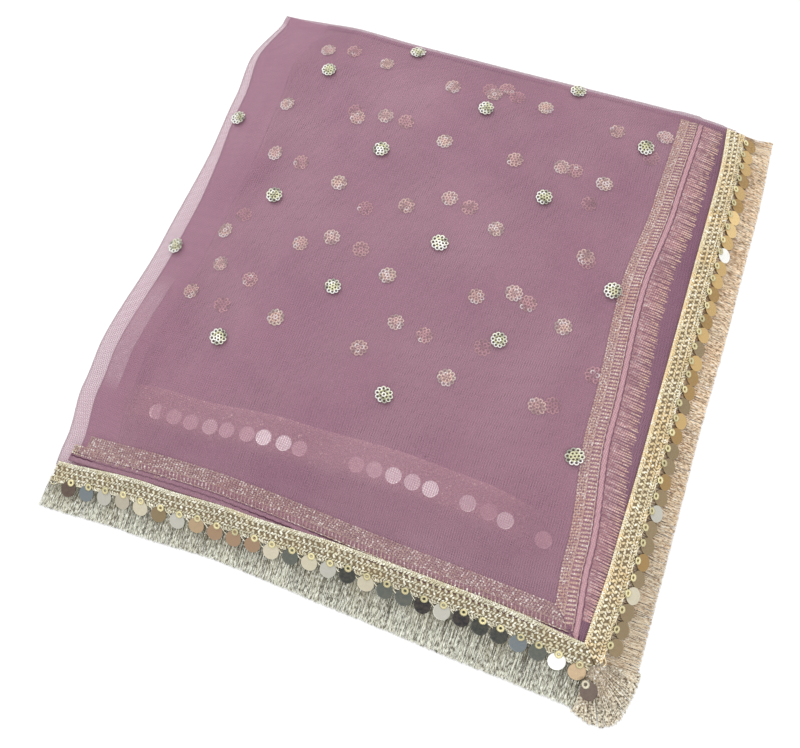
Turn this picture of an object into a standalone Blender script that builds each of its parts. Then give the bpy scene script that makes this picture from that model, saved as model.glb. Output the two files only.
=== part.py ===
# Folded dupatta stole, lying flat. Metres, +Z up.
# +X runs along the near trimmed edge, +Y away from it along the right trimmed edge.
# The origin is under the middle of the folded stack, at its underside.
# The stole was cut 2.10 x 0.92 m, folded once along its length and then in four across it.
# Two layers show at the top: the top layer, with its braid and fringe bare on two sides, and
# the second layer below it with the same border. The six layers under them are one solid.

import math

import bmesh
import bpy
from mathutils import Vector

for old in list(bpy.data.objects):
    bpy.data.objects.remove(old, do_unlink=True)
PARTS = bpy.data.collections.new("dupatta_stole")
bpy.context.scene.collection.children.link(PARTS)

# Cloth, in metres
CLOTH = 0.0010              # wall of one net layer
SEAM_GAP = 0.0003           # between pieces that touch
SPARE = 0.0001              # added to a gap between faces that bend
STACK_HEIGHT = 0.0185       # the hidden layers at their thickest
FLOOR_CLEAR = 0.00145       # inner face of the top layer where it turns under, over the ground
RIPPLE = 0.025              # soft waves over the stack, as a share of its height
RIPPLE_X = 31.0             # radians a metre along x and along y
RIPPLE_Y = 24.0
RIPPLE_START = (0.8, 0.5)

# Border lace, measured outward from its inner edge
BRAID_WIDTH = 0.0175
TURN_IN = 0.0090            # how far the net reaches under the braid
STACK_REACH = 0.0115        # how far the hidden layers reach under the braid
BRAID_PITCH = 0.0050        # one crochet knot
SCALLOP = 0.0011            # how far each scallop stands out
KNOTS_PER_SCALLOP = 3
SECOND_BRAID = 0.0150       # braid of the second layer
SECOND_BRAID_TALL = 0.0012
SECOND_STRIP = 0.0035       # heading that carries the second layer's fringe
SECOND_FRINGE = 0.0400      # from the braid's inner edge to the fringe tips
SECOND_SHARE = 0.75         # of the way to the top braid that the second one fills, near edge
SECOND_STOP = 0.0035        # how far short of the top braid the second layer's fringe ends

# Ends of the top border
NEAR_BRAID_AT = -0.210      # y where the near braid meets the left fold
RIGHT_BRAID_AT = 0.205      # x where the right braid meets the back fold
BRAID_END = 0.0060          # how far past those lines the braids end
NEAR_FRINGE_AT = -0.240     # y and x where the fringes meet the folds
RIGHT_FRINGE_AT = 0.215
NEAR_FRINGE_END = 0.0010
RIGHT_FRINGE_END = 0.0040
MITRE_CLEAR = 0.75 * SEAM_GAP
HEADING_CLEAR = 0.0004      # between the straight headings and the corner one
DRAPE_COLUMNS = 5           # columns of the left drape that the near border crosses
ROLL_ROWS = 2               # rows of the back roll that the right border crosses
FACE_STEP = 0.002           # step used to find which way a border's face looks

# Fringe locks
NEAR_LOCKS = 54
RIGHT_LOCKS = 58
CORNER_LOCKS = 10
SECOND_LOCKS = 50
LOCK_SHARE = 0.62           # of the pitch that a lock takes at its root
TIP_SHARE = 0.50
LOCK_SAG = 0.62             # of the way down that the middle of a lock has dropped
LOCK_LEAN = 0.16            # how far tips lean sideways, as a share of the pitch
LEAN_TURN = 2.4             # radians from one lock's lean to the next
LEAN_DRIFT = 0.37
TIP_SPREAD = 0.0012         # how unevenly the tips end
TIP_TURN = 1.9
LOCK_THICK = 0.0008
TIP_LIFT = 0.0011           # middle of a lock's tip over the ground
STRIP_DROP = 0.80           # height kept from the net's edge to the heading's outer edge

# Fringe fanned round the corner, angles in degrees from +X
CORNER_START = -88.0
CORNER_SWEEP = 86.0
CORNER_ROOT = 0.0016        # heading's inner and outer edges, from the fan's centre
CORNER_HEAD = 0.0078
CORNER_KEEP = 0.97          # height kept at the heading's inner edge
CORNER_REACH = 0.0352       # tips from the fan's centre
CORNER_BULGE = 0.0080       # and how much further at the fullest place
BULGE_AT = -58.0
BULGE_RUN = 24.0

# Veiled fringe of the second layer
SECOND_LENGTH = 0.97        # share of the way to its line that the longest lock goes
SECOND_SPREAD = 0.05
SECOND_TURN = 1.7

# Lines of the folded stack, seen from above. Columns: place along the edge, place of the line.
LEFT_FOLD = (               # y, x
    (-0.2550, -0.2265), (-0.2000, -0.2330), (-0.1100, -0.2442), (-0.0100, -0.2365),
    (0.0800, -0.2345), (0.1500, -0.2380), (0.1950, -0.2420), (0.2550, -0.2270),
)
RIGHT_BRAID = (             # y, x of the top braid's inner edge
    (-0.2050, 0.1960), (-0.1400, 0.1985), (-0.0600, 0.2000), (0.0700, 0.2005),
    (0.1900, 0.2010), (0.2550, 0.1985),
)
NEAR_BRAID = (              # x, y of the top braid's inner edge
    (-0.2450, -0.2165), (-0.1400, -0.2070), (-0.0700, -0.2030), (0.0200, -0.1990),
    (0.1200, -0.1985), (0.2150, -0.2035),
)
SECOND_RIGHT = (            # y, x of the second braid's inner edge
    (-0.2100, 0.1720), (-0.1500, 0.1660), (-0.0500, 0.1555), (0.0700, 0.1500),
    (0.1500, 0.1560), (0.2550, 0.1590),
)
SECOND_NEAR = (             # x, y of the second braid's inner edge
    (-0.2450, -0.1900), (-0.0800, -0.1815), (0.0800, -0.1845), (0.2150, -0.1855),
)
RIGHT_TIPS = (              # y, x of the fringe tips
    (-0.2200, 0.2396), (-0.0500, 0.2400), (0.1000, 0.2416), (0.1800, 0.2420), (0.2550, 0.2396),
)
NEAR_TIPS = (               # x, y of the fringe tips
    (-0.2300, -0.2523), (-0.1500, -0.2480), (-0.0700, -0.2427), (0.0300, -0.2450),
    (0.1350, -0.2470), (0.2150, -0.2475),
)
BACK_FOLD = (               # x, y where the top starts to roll down
    (-0.2450, 0.2365), (-0.1800, 0.2395), (0.1500, 0.2390), (0.2450, 0.2375),
)

# How the stack's top thins towards each side. Columns: start of the slope, its run, its power
# and the share of the height left where the slope starts.
RIGHT_SLOPE = (0.2425, 0.080, 2.2, 0.0)
NEAR_SLOPE = (-0.2480, 0.100, 2.2, 0.0)
LEFT_SLOPE = (0.050, 0.040, 2.0, 0.65)
BACK_SLOPE = (0.000, 0.045, 2.0, 0.75)
STACK_INSET = 0.050         # from the left fold to the edge of the stack's top
CORNER_OUT = 0.0030         # how far the left corners of the stack's foot stand out
CORNER_RUN = 0.0330         # and how far they run to the left

# Rounded folds down the stack's sides.
# Columns: share of the height, and how far out at the left, at the back and under the border.
STACK_SIDE = (
    (0.90, 0.0035, 0.0022, 0.0008),
    (0.78, 0.0040, 0.0026, 0.0010),
    (0.69, 0.0022, 0.0010, 0.0003),
    (0.62, 0.0120, 0.0024, 0.0012),
    (0.54, 0.0175, 0.0036, 0.0018),
    (0.45, 0.0185, 0.0040, 0.0020),
    (0.37, 0.0160, 0.0022, 0.0010),
    (0.31, 0.0280, 0.0038, 0.0018),
    (0.22, 0.0345, 0.0050, 0.0025),
    (0.09, 0.0355, 0.0052, 0.0026),
    (0.00, 0.0330, 0.0044, 0.0020),
)

# The top layer past the stack's top. Columns: how far out, share of the height kept.
LEFT_DRAPE = (
    (0.0060, 0.92), (0.0140, 0.76), (0.0220, 0.60), (0.0300, 0.43), (0.0380, 0.29),
    (0.0450, 0.20), (0.0485, 0.10), (0.0472, 0.03), (0.0430, 0.00), (0.0385, 0.00),
)
BACK_DRAPE = (
    (0.0045, 0.94), (0.0080, 0.80), (0.0103, 0.58), (0.0112, 0.34), (0.0114, 0.12),
)

# Crochet relief across the braid.
# Columns: share of the width, height on a knot, height between knots.
BRAID_RELIEF = (
    (0.00, 0.0007, 0.0007), (0.09, 0.0015, 0.0013), (0.22, 0.0008, 0.0008),
    (0.50, 0.0018, 0.0010), (0.78, 0.0009, 0.0015), (1.00, 0.0007, 0.0007),
)
SECOND_RELIEF = (
    (0.00, 0.45), (0.22, 1.00), (0.50, 0.60), (0.80, 1.00), (1.00, 0.45),
)

BODY_COLUMNS = 8            # stations across the plain body
BODY_ROWS = 10              # stations along it
RELIEF_LEAD = 0.010         # where the net starts to rise over the second braid
SETTLE_ROUNDS = 6           # rounds in which a station's x and y settle

COLOURS = {                 # base colour, roughness, metallic
    "net": ((0.36, 0.19, 0.26), 0.75, 0.0),
    "hidden net": ((0.33, 0.17, 0.23), 0.80, 0.0),
    "gold braid": ((0.62, 0.55, 0.38), 0.42, 0.55),
    "veiled braid": ((0.52, 0.34, 0.34), 0.50, 0.35),
    "silver fringe": ((0.60, 0.57, 0.46), 0.38, 0.65),
}


def blend(a, b, t):
    return a + (b - a) * t


def ease(t):
    t = min(1.0, max(0.0, t))
    return t * t * (3.0 - 2.0 * t)


def along(table, place):
    """Value of a two-column table, eased between its rows."""
    if place <= table[0][0]:
        return table[0][1]
    for (p0, v0), (p1, v1) in zip(table, table[1:]):
        if place <= p1:
            return blend(v0, v1, ease((place - p0) / (p1 - p0)))
    return table[-1][1]


def slope(distance, run, power, start):
    t = min(1.0, max(0.0, distance / run))
    return 1.0 - (1.0 - start) * (1.0 - t) ** power


def stack_height(x, y):
    """Top of the hidden layers over the ground."""
    right = slope(RIGHT_SLOPE[0] - x, *RIGHT_SLOPE[1:])
    near = slope(y - NEAR_SLOPE[0], *NEAR_SLOPE[1:])
    left = slope(x - along(LEFT_FOLD, y) - LEFT_SLOPE[0], *LEFT_SLOPE[1:])
    back = slope(along(BACK_FOLD, x) - y - BACK_SLOPE[0], *BACK_SLOPE[1:])
    wave = math.sin(RIPPLE_X * x + RIPPLE_START[0]) * math.sin(RIPPLE_Y * y - RIPPLE_START[1])
    ripple = 1.0 + RIPPLE * wave
    return STACK_HEIGHT * right * near * left * back * ripple


# Columns and rows of the shared net of stations. Every layer stands on these, so the layers
# stay parallel and never cross.
def column_lines(y):
    first = along(LEFT_FOLD, y) + STACK_INSET
    second = along(SECOND_RIGHT, y)
    top = along(RIGHT_BRAID, y)
    lines = [blend(first, second - RELIEF_LEAD, k / BODY_COLUMNS) for k in range(BODY_COLUMNS + 1)]
    lines += [second, second + 0.5 * SECOND_BRAID, second + SECOND_BRAID]
    lines += [second + SECOND_BRAID + SECOND_STRIP, min(second + SECOND_FRINGE, top - SECOND_STOP)]
    lines += [top, top + TURN_IN, top + STACK_REACH]
    return lines


def row_lines(x):
    top = along(NEAR_BRAID, x)
    second = along(SECOND_NEAR, x)
    depth = SECOND_SHARE * (second - top)
    back = along(BACK_FOLD, x)
    lines = [top - STACK_REACH, top - TURN_IN, top]
    lines += [second - depth, second - 0.5 * depth, second]
    lines += [blend(second + RELIEF_LEAD, back, k / BODY_ROWS) for k in range(BODY_ROWS + 1)]
    return lines


COLUMNS = len(column_lines(0.0))
ROWS = len(row_lines(0.0))
SECOND_IN = BODY_COLUMNS + 1        # columns of the second braid's inner edge, outer edge, tips
SECOND_OUT = SECOND_IN + 2
SECOND_TIP = SECOND_IN + 4
TOP_IN = SECOND_IN + 5              # column of the top braid's inner edge
TOP_OUT = TOP_IN + 1                # column of the net's edge under it
ROW_NET = 1                         # rows of the net's edge and the top braid's inner edge
ROW_TOP = 2
ROW_SECOND_OUT = 3                  # rows of the second braid
ROW_SECOND_IN = 5


def station(i, j):
    """Place of column i and row j, seen from above."""
    x, y = 0.0, 0.0
    for _ in range(SETTLE_ROUNDS):
        x = column_lines(y)[i]
        y = row_lines(x)[j]
    return x, y


def lift(i, j):
    """Height of the top layer's inner face over the stack."""
    inside = i <= SECOND_TIP and j >= ROW_SECOND_OUT
    braid_column = SECOND_IN <= i <= SECOND_OUT and j >= ROW_SECOND_OUT
    braid_row = ROW_SECOND_OUT <= j <= ROW_SECOND_IN and i <= SECOND_OUT
    one_layer = CLOTH + 2.0 * SEAM_GAP + 2.0 * SPARE
    if braid_column or braid_row:
        return one_layer + SECOND_BRAID_TALL + SEAM_GAP
    return one_layer if inside else 2.0 * SEAM_GAP


def build_stations():
    table = {}
    for i in range(COLUMNS):
        for j in range(ROWS):
            x, y = station(i, j)
            table[i, j] = Vector((x, y, stack_height(x, y)))
    return table


STATIONS = build_stations()


def raised(i, j, height):
    p = STATIONS[i, j]
    return Vector((p.x, p.y, p.z + height))


def top_inner(i, j):
    """Inner face of the top layer. i runs left past 0 down the drape, j past the back roll."""
    column = max(i, 0)
    row = min(j, ROWS - 1)
    p = raised(column, row, lift(column, row))
    share = 1.0
    if i < 0:
        out, keep = LEFT_DRAPE[-i - 1]
        p.x -= out
        share *= keep
    if j > ROWS - 1:
        out, keep = BACK_DRAPE[j - ROWS]
        p.y += out
        share *= keep
    p.z = FLOOR_CLEAR + (p.z - FLOOR_CLEAR) * share
    return p


def make_material(kind):
    colour, roughness, metallic = COLOURS[kind]
    material = bpy.data.materials.get(kind)
    if material is None:
        material = bpy.data.materials.new(kind)
        material.use_nodes = True
        shader = material.node_tree.nodes["Principled BSDF"]
        shader.inputs["Base Color"].default_value = (*colour, 1.0)
        shader.inputs["Roughness"].default_value = roughness
        shader.inputs["Metallic"].default_value = metallic
        material.diffuse_color = (*colour, 1.0)
    return material


def add_object(name, points, faces, kind):
    mesh = bpy.data.meshes.new(name)
    mesh.from_pydata([tuple(p) for p in points], [], faces)
    mesh.update()
    obj = bpy.data.objects.new(name, mesh)
    obj.data.materials.append(make_material(kind))
    PARTS.objects.link(obj)
    return obj


def net_wall(name, rows_of_points, kind):
    """A sheet through a grid of points, given its wall above them by Solidify."""
    tall = len(rows_of_points)
    wide = len(rows_of_points[0])
    points = [p for row in rows_of_points for p in row]
    faces = []
    for r in range(tall - 1):
        for c in range(wide - 1):
            a = r * wide + c
            faces.append((a, a + 1, a + wide + 1))
            faces.append((a, a + wide + 1, a + wide))
    obj = add_object(name, points, faces, kind)
    wall = obj.modifiers.new("wall", "SOLIDIFY")
    wall.thickness = CLOTH
    wall.offset = 1.0
    obj.data.shade_smooth()
    return obj


def ring_loft(name, rings, kind):
    """A closed solid through rings of equal length, with its two ends filled."""
    size = len(rings[0])
    points = [p for ring in rings for p in ring]
    faces = []
    for r in range(len(rings) - 1):
        for k in range(size):
            a = r * size + k
            b = r * size + (k + 1) % size
            faces.append((a, b, b + size))
            faces.append((a, b + size, a + size))
    faces.append(tuple(reversed(range(size))))
    last = (len(rings) - 1) * size
    faces.append(tuple(range(last, last + size)))
    return add_object(name, points, faces, kind)


def make_hidden_layers():
    """The six lower layers: one rounded solid whose sides are three soft folds."""
    border = [(i, 0) for i in range(COLUMNS - 1)]
    border += [(COLUMNS - 1, j) for j in range(ROWS - 1)]
    border += [(i, ROWS - 1) for i in range(COLUMNS - 1, 0, -1)]
    border += [(0, j) for j in range(ROWS - 1, 0, -1)]
    points = [STATIONS[i, j].copy() for j in range(ROWS) for i in range(COLUMNS)]
    above = [j * COLUMNS + i for i, j in border]
    faces = []
    for j in range(ROWS - 1):
        for i in range(COLUMNS - 1):
            a = j * COLUMNS + i
            faces.append((a, a + 1, a + COLUMNS + 1))
            faces.append((a, a + COLUMNS + 1, a + COLUMNS))
    for share, left, back, under in STACK_SIDE:
        level = []
        for i, j in border:
            p = STATIONS[i, j].copy()
            corner = j in (0, ROWS - 1)
            out = CORNER_RUN * (1.0 - share) if corner else left
            p.x += under if i == COLUMNS - 1 else -out if i == 0 else 0.0
            rise = CORNER_OUT * (1.0 - share)
            if j == ROWS - 1:
                p.y += rise if i <= 1 else back
            elif j == 0:
                p.y -= rise if i <= 1 else under
            p.z *= share
            level.append(len(points))
            points.append(p)
        for k in range(len(border)):
            m = (k + 1) % len(border)
            faces.append((above[m], above[k], level[k]))
            faces.append((above[m], level[k], level[m]))
        above = level
    faces.append(tuple(reversed(above)))
    return add_object("hidden_layers", points, faces, "hidden net")


def make_second_layer():
    rows = []
    for j in range(ROW_SECOND_OUT, ROWS):
        rows.append([raised(i, j, SEAM_GAP) for i in range(SECOND_OUT + 1)])
    return net_wall("second_layer", rows, "hidden net")


def make_top_layer():
    rows = []
    for j in range(ROW_NET, ROWS + len(BACK_DRAPE)):
        rows.append([top_inner(i, j) for i in range(-len(LEFT_DRAPE), TOP_OUT + 1)])
    return net_wall("top_layer", rows, "net")


def second_section(inner, outer):
    """Ring across a second-layer braid, between two points on the net's upper face."""
    ring = [blend(inner, outer, share) + Vector((0, 0, tall * SECOND_BRAID_TALL))
            for share, tall in SECOND_RELIEF]
    return ring + [outer, blend(inner, outer, 0.5), inner]


def make_second_braids():
    base = CLOTH + 2.0 * SEAM_GAP
    rings = []
    for j in range(ROW_SECOND_IN, ROWS):
        mid = raised(SECOND_IN + 1, j, base)
        ring = second_section(raised(SECOND_IN, j, base), raised(SECOND_OUT, j, base))
        ring[-2] = mid
        ring[2] = mid + Vector((0, 0, SECOND_RELIEF[2][1] * SECOND_BRAID_TALL))
        rings.append(ring)
    ring_loft("second_braid_right", rings, "veiled braid")
    rings = []
    for i in range(SECOND_OUT, -1, -1):
        gap = Vector((0, -SEAM_GAP, 0)) if i >= SECOND_IN else Vector()
        mid = raised(i, ROW_SECOND_IN - 1, base)
        ring = second_section(raised(i, ROW_SECOND_IN, base) + gap, raised(i, ROW_SECOND_OUT, base))
        ring[-2] = mid
        ring[2] = mid + Vector((0, 0, SECOND_RELIEF[2][1] * SECOND_BRAID_TALL))
        rings.append(ring)
    ring_loft("second_braid_near", list(reversed(rings)), "veiled braid")


def polyline(nodes, axis, place):
    """Point on a run of nodes at a place along x or y, carried on past its ends."""
    last = len(nodes) - 2
    k = 0
    while k < last and nodes[k + 1][axis] < place:
        k += 1
    a, b = nodes[k], nodes[k + 1]
    return blend(a, b, (place - a[axis]) / (b[axis] - a[axis]))


OUTER_FACE = CLOTH + SEAM_GAP + SPARE
NEAR_NODES = [[top_inner(i, j) for i in range(-DRAPE_COLUMNS, TOP_OUT + 1)] for j in (ROW_TOP, ROW_NET)]
RIGHT_NODES = [[top_inner(i, j) for j in range(ROW_NET, ROWS + ROLL_ROWS)] for i in (TOP_IN, TOP_OUT)]
CORNER = top_inner(TOP_IN, ROW_TOP)


def near_trim(x, w):
    """Inner face of the near border at x, w out from the braid's inner edge."""
    inner = polyline(NEAR_NODES[0], 0, x)
    edge = polyline(NEAR_NODES[1], 0, x)
    if w <= TURN_IN:
        return blend(inner, edge, w / TURN_IN)
    run = BRAID_WIDTH - TURN_IN
    t = (w - TURN_IN) / run
    return Vector((x, edge.y - (w - TURN_IN), edge.z * blend(1.0, STRIP_DROP, t)))


def right_trim(y, w):
    inner = polyline(RIGHT_NODES[0], 1, y)
    edge = polyline(RIGHT_NODES[1], 1, y)
    if w <= TURN_IN:
        return blend(inner, edge, w / TURN_IN)
    run = BRAID_WIDTH - TURN_IN
    t = (w - TURN_IN) / run
    return Vector((edge.x + (w - TURN_IN), y, edge.z * blend(1.0, STRIP_DROP, t)))


def face_normal(trim, place, w):
    """Way out of the border's face at a point."""
    a = trim(place + FACE_STEP, w) - trim(place - FACE_STEP, w)
    b = trim(place, min(w + FACE_STEP, BRAID_WIDTH)) - trim(place, max(0.0, w - FACE_STEP))
    n = a.cross(b)
    return (n if n.z > 0.0 else -n).normalized()


def braid_rings(trim, start, turn, count):
    """Sections of a top braid from its far end to the mitre at the corner."""
    rings = []
    for k in range(count + 1):
        knot = k % 2
        wave = SCALLOP * math.cos(2.0 * math.pi * k / KNOTS_PER_SCALLOP)
        width = BRAID_WIDTH + wave
        ring = []
        for share, on_knot, between in BRAID_RELIEF:
            w = share * width
            place = blend(start, turn(w), k / count)
            tall = between if knot else on_knot
            n = face_normal(trim, place, min(w, BRAID_WIDTH))
            ring.append(trim(place, w) + n * (OUTER_FACE + tall))
        for w in (width, TURN_IN, 0.0):
            place = blend(start, turn(w), k / count)
            ring.append(trim(place, w) + face_normal(trim, place, min(w, BRAID_WIDTH)) * OUTER_FACE)
        rings.append(ring)
    return rings


def near_turn(w):
    """Where the near braid ends at the mitre, w out from its inner edge."""
    return CORNER.x + w - MITRE_CLEAR


def right_turn(w):
    """Where the right braid ends at the mitre, w out from its inner edge."""
    return CORNER.y - w + MITRE_CLEAR


def make_top_braids():
    left = along(LEFT_FOLD, NEAR_BRAID_AT) + BRAID_END
    count = KNOTS_PER_SCALLOP * round((CORNER.x - left) / BRAID_PITCH / KNOTS_PER_SCALLOP)
    ring_loft("top_braid_near", braid_rings(near_trim, left, near_turn, count), "gold braid")
    back = along(BACK_FOLD, RIGHT_BRAID_AT) + BRAID_END
    count = KNOTS_PER_SCALLOP * round((back - CORNER.y) / BRAID_PITCH / KNOTS_PER_SCALLOP)
    ring_loft("top_braid_right", braid_rings(right_trim, back, right_turn, count), "gold braid")


# A comb's stations come in pairs, one at each side of a lock. Each gives the heading's four
# corners, inner top, outer top, outer bottom and inner bottom, and then the lock's later
# corners as pairs of an upper and a lower point.
def comb(name, stations, kind):
    """A narrow heading with locks of fringe growing from its outer side."""
    points = []
    faces = []
    heads = []
    for corners, _ in stations:
        heads.append([len(points) + k for k in range(4)])
        points.extend(corners)
    for k in range(len(stations) - 1):
        a, b = heads[k], heads[k + 1]
        for side in range(4):
            nxt = (side + 1) % 4
            if side == 1 and k % 2 == 0:
                continue
            faces.append((a[side], b[side], b[nxt], a[nxt]))
    faces.append(tuple(reversed(heads[0])))
    faces.append(tuple(heads[-1]))
    for k in range(0, len(stations), 2):
        ring = [heads[k][1], heads[k + 1][1], heads[k + 1][2], heads[k][2]]
        for up_low_a, up_low_b in zip(stations[k][1], stations[k + 1][1]):
            new = [len(points) + m for m in range(4)]
            points.extend([up_low_a[0], up_low_b[0], up_low_b[1], up_low_a[1]])
            for side in range(4):
                nxt = (side + 1) % 4
                faces.append((ring[side], ring[nxt], new[nxt], new[side]))
            ring = new
        faces.append(tuple(ring))
    return add_object(name, points, faces, kind)


def lock_sides(k, count, start, end):
    """The two places along an edge where lock k starts and stops."""
    pitch = (end - start) / (count - 1 + LOCK_SHARE)
    first = start + k * pitch
    return first, first + LOCK_SHARE * pitch, pitch


def lock_bend(k):
    """Small sideways lean of a lock's tip, as a share of the pitch."""
    return LOCK_LEAN * math.sin(LEAN_TURN * k) * math.sin(LEAN_DRIFT * k + 1.0)


def straight_comb(name, trim, tips, axis, start, end, count):
    stations = []
    up = Vector((0, 0, 0.5 * LOCK_THICK))
    for k in range(count):
        first, second, pitch = lock_sides(k, count, start, end)
        middle = 0.5 * (first + second)
        for side, place in ((-1, first), (1, second)):
            root = TURN_IN + SEAM_GAP
            inner = trim(place, root)
            outer = trim(place, BRAID_WIDTH)
            n = face_normal(trim, place, BRAID_WIDTH)
            corners = [inner + n * CLOTH, outer + n * CLOTH, outer.copy(), inner.copy()]
            half = 0.5 * TIP_SHARE * pitch
            tip = outer.copy()
            tip[axis] = middle + side * half + lock_bend(k) * pitch
            reach = along(tips, middle) + TIP_SPREAD * math.sin(TIP_TURN * k)
            tip[1 - axis] = reach
            tip.z = TIP_LIFT
            mid = blend(outer + n * (0.5 * CLOTH), tip, 0.5)
            mid.z = blend(outer.z, tip.z, LOCK_SAG)
            stations.append((corners, [(mid + up, mid - up), (tip + up, tip - up)]))
    return comb(name, stations, "silver fringe")


def make_corner_comb():
    """The fringe fanned round the corner from a curved heading."""
    centre = near_trim(CORNER.x + TURN_IN, TURN_IN)
    height = centre.z
    stations = []
    up = Vector((0, 0, 0.5 * LOCK_THICK))
    pitch = math.radians(CORNER_SWEEP) / (CORNER_LOCKS - 1 + LOCK_SHARE)
    for k in range(CORNER_LOCKS):
        for side in (0, 1):
            angle = math.radians(CORNER_START) + pitch * (k + LOCK_SHARE * side)
            way = Vector((math.cos(angle), math.sin(angle), 0))
            inner = centre + way * CORNER_ROOT
            outer = centre + way * CORNER_HEAD
            inner.z = height * CORNER_KEEP
            outer.z = height * STRIP_DROP
            corners = [inner + Vector((0, 0, CLOTH)), outer + Vector((0, 0, CLOTH)), outer, inner]
            off = (math.degrees(angle) - BULGE_AT) / BULGE_RUN
            reach = CORNER_REACH + CORNER_BULGE * math.exp(-off ** 2)
            narrow = angle + pitch * (LOCK_SHARE - TIP_SHARE) * (0.5 - side)
            tip = centre + Vector((math.cos(narrow), math.sin(narrow), 0)) * reach
            tip.z = TIP_LIFT
            mid = blend(outer, tip, 0.5)
            mid.z = blend(outer.z, tip.z, LOCK_SAG)
            stations.append((corners, [(mid + up, mid - up), (tip + up, tip - up)]))
    return comb("top_fringe_corner", stations, "silver fringe")


def between_rows(column, place):
    """Stack point on a column line at a real-numbered row."""
    j = min(int(place), ROWS - 2)
    return blend(STATIONS[column, j], STATIONS[column, j + 1], place - j)


def row_at(y):
    """Real-numbered row at a place along the second braid's outer edge."""
    j = ROW_SECOND_IN
    while j < ROWS - 2 and STATIONS[SECOND_OUT, j + 1].y < y:
        j += 1
    a = STATIONS[SECOND_OUT, j].y
    b = STATIONS[SECOND_OUT, j + 1].y
    return j + (y - a) / (b - a)


def make_second_fringe():
    """Fringe of the second layer's right border, lying between the stack and the top layer."""
    stations = []
    first_y = STATIONS[SECOND_OUT, ROW_SECOND_IN].y
    last_y = STATIONS[SECOND_OUT, ROWS - 1].y
    lower = Vector((0, 0, SEAM_GAP + SPARE))
    upper = Vector((0, 0, CLOTH))
    for k in range(SECOND_LOCKS):
        a, b, pitch = lock_sides(k, SECOND_LOCKS, first_y, last_y)
        middle = 0.5 * (a + b)
        for side, y in ((-1, a), (1, b)):
            row = row_at(y)
            net_edge = between_rows(SECOND_OUT, row) + lower
            outer = between_rows(SECOND_OUT + 1, row) + lower
            inner = net_edge + (outer - net_edge).normalized() * SEAM_GAP
            corners = [inner + upper, outer + upper, outer, inner]
            tip_row = row_at(middle + side * 0.5 * TIP_SHARE * pitch)
            length = SECOND_LENGTH - SECOND_SPREAD * abs(math.sin(SECOND_TURN * k))
            root = between_rows(SECOND_OUT + 1, tip_row)
            tip = blend(root, between_rows(SECOND_TIP, tip_row), length) + lower
            tip.z += 2.0 * SPARE
            stations.append((corners, [(tip + Vector((0, 0, LOCK_THICK)), tip)]))
    comb("second_fringe_right", stations, "silver fringe")


def make_fringes():
    left = along(LEFT_FOLD, NEAR_FRINGE_AT) + NEAR_FRINGE_END
    turn_x = CORNER.x + TURN_IN - HEADING_CLEAR
    straight_comb("top_fringe_near", near_trim, NEAR_TIPS, 0, left, turn_x, NEAR_LOCKS)
    turn_y = CORNER.y - TURN_IN + HEADING_CLEAR
    back = along(BACK_FOLD, RIGHT_FRINGE_AT) + RIGHT_FRINGE_END
    straight_comb("top_fringe_right", right_trim, RIGHT_TIPS, 1, turn_y, back, RIGHT_LOCKS)
    make_corner_comb()


def repair_normals():
    """Faces of every closed loft point outwards."""
    for obj in PARTS.objects:
        if obj.modifiers:
            continue
        work = bmesh.new()
        work.from_mesh(obj.data)
        bmesh.ops.recalc_face_normals(work, faces=work.faces)
        bmesh.ops.triangulate(work, faces=work.faces)
        work.to_mesh(obj.data)
        work.free()


make_hidden_layers()
make_second_layer()
make_second_braids()
make_second_fringe()
make_top_layer()
make_top_braids()
make_fringes()
repair_normals()
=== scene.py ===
import math
import random

import bmesh
import bpy
import numpy as np
from mathutils import Matrix, Vector


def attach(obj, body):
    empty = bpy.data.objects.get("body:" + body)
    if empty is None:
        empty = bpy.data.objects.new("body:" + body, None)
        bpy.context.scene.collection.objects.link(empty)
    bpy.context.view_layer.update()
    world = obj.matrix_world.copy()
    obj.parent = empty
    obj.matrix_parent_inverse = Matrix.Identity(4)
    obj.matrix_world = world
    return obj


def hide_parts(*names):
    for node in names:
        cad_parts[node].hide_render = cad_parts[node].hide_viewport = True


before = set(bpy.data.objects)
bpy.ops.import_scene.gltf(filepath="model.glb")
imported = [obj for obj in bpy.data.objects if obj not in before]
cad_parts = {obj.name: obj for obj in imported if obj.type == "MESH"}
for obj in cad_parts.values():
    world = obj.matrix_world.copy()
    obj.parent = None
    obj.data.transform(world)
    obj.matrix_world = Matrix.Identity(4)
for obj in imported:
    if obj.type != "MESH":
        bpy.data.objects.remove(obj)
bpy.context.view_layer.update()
random.seed(11)
scene = bpy.context.scene

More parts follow.
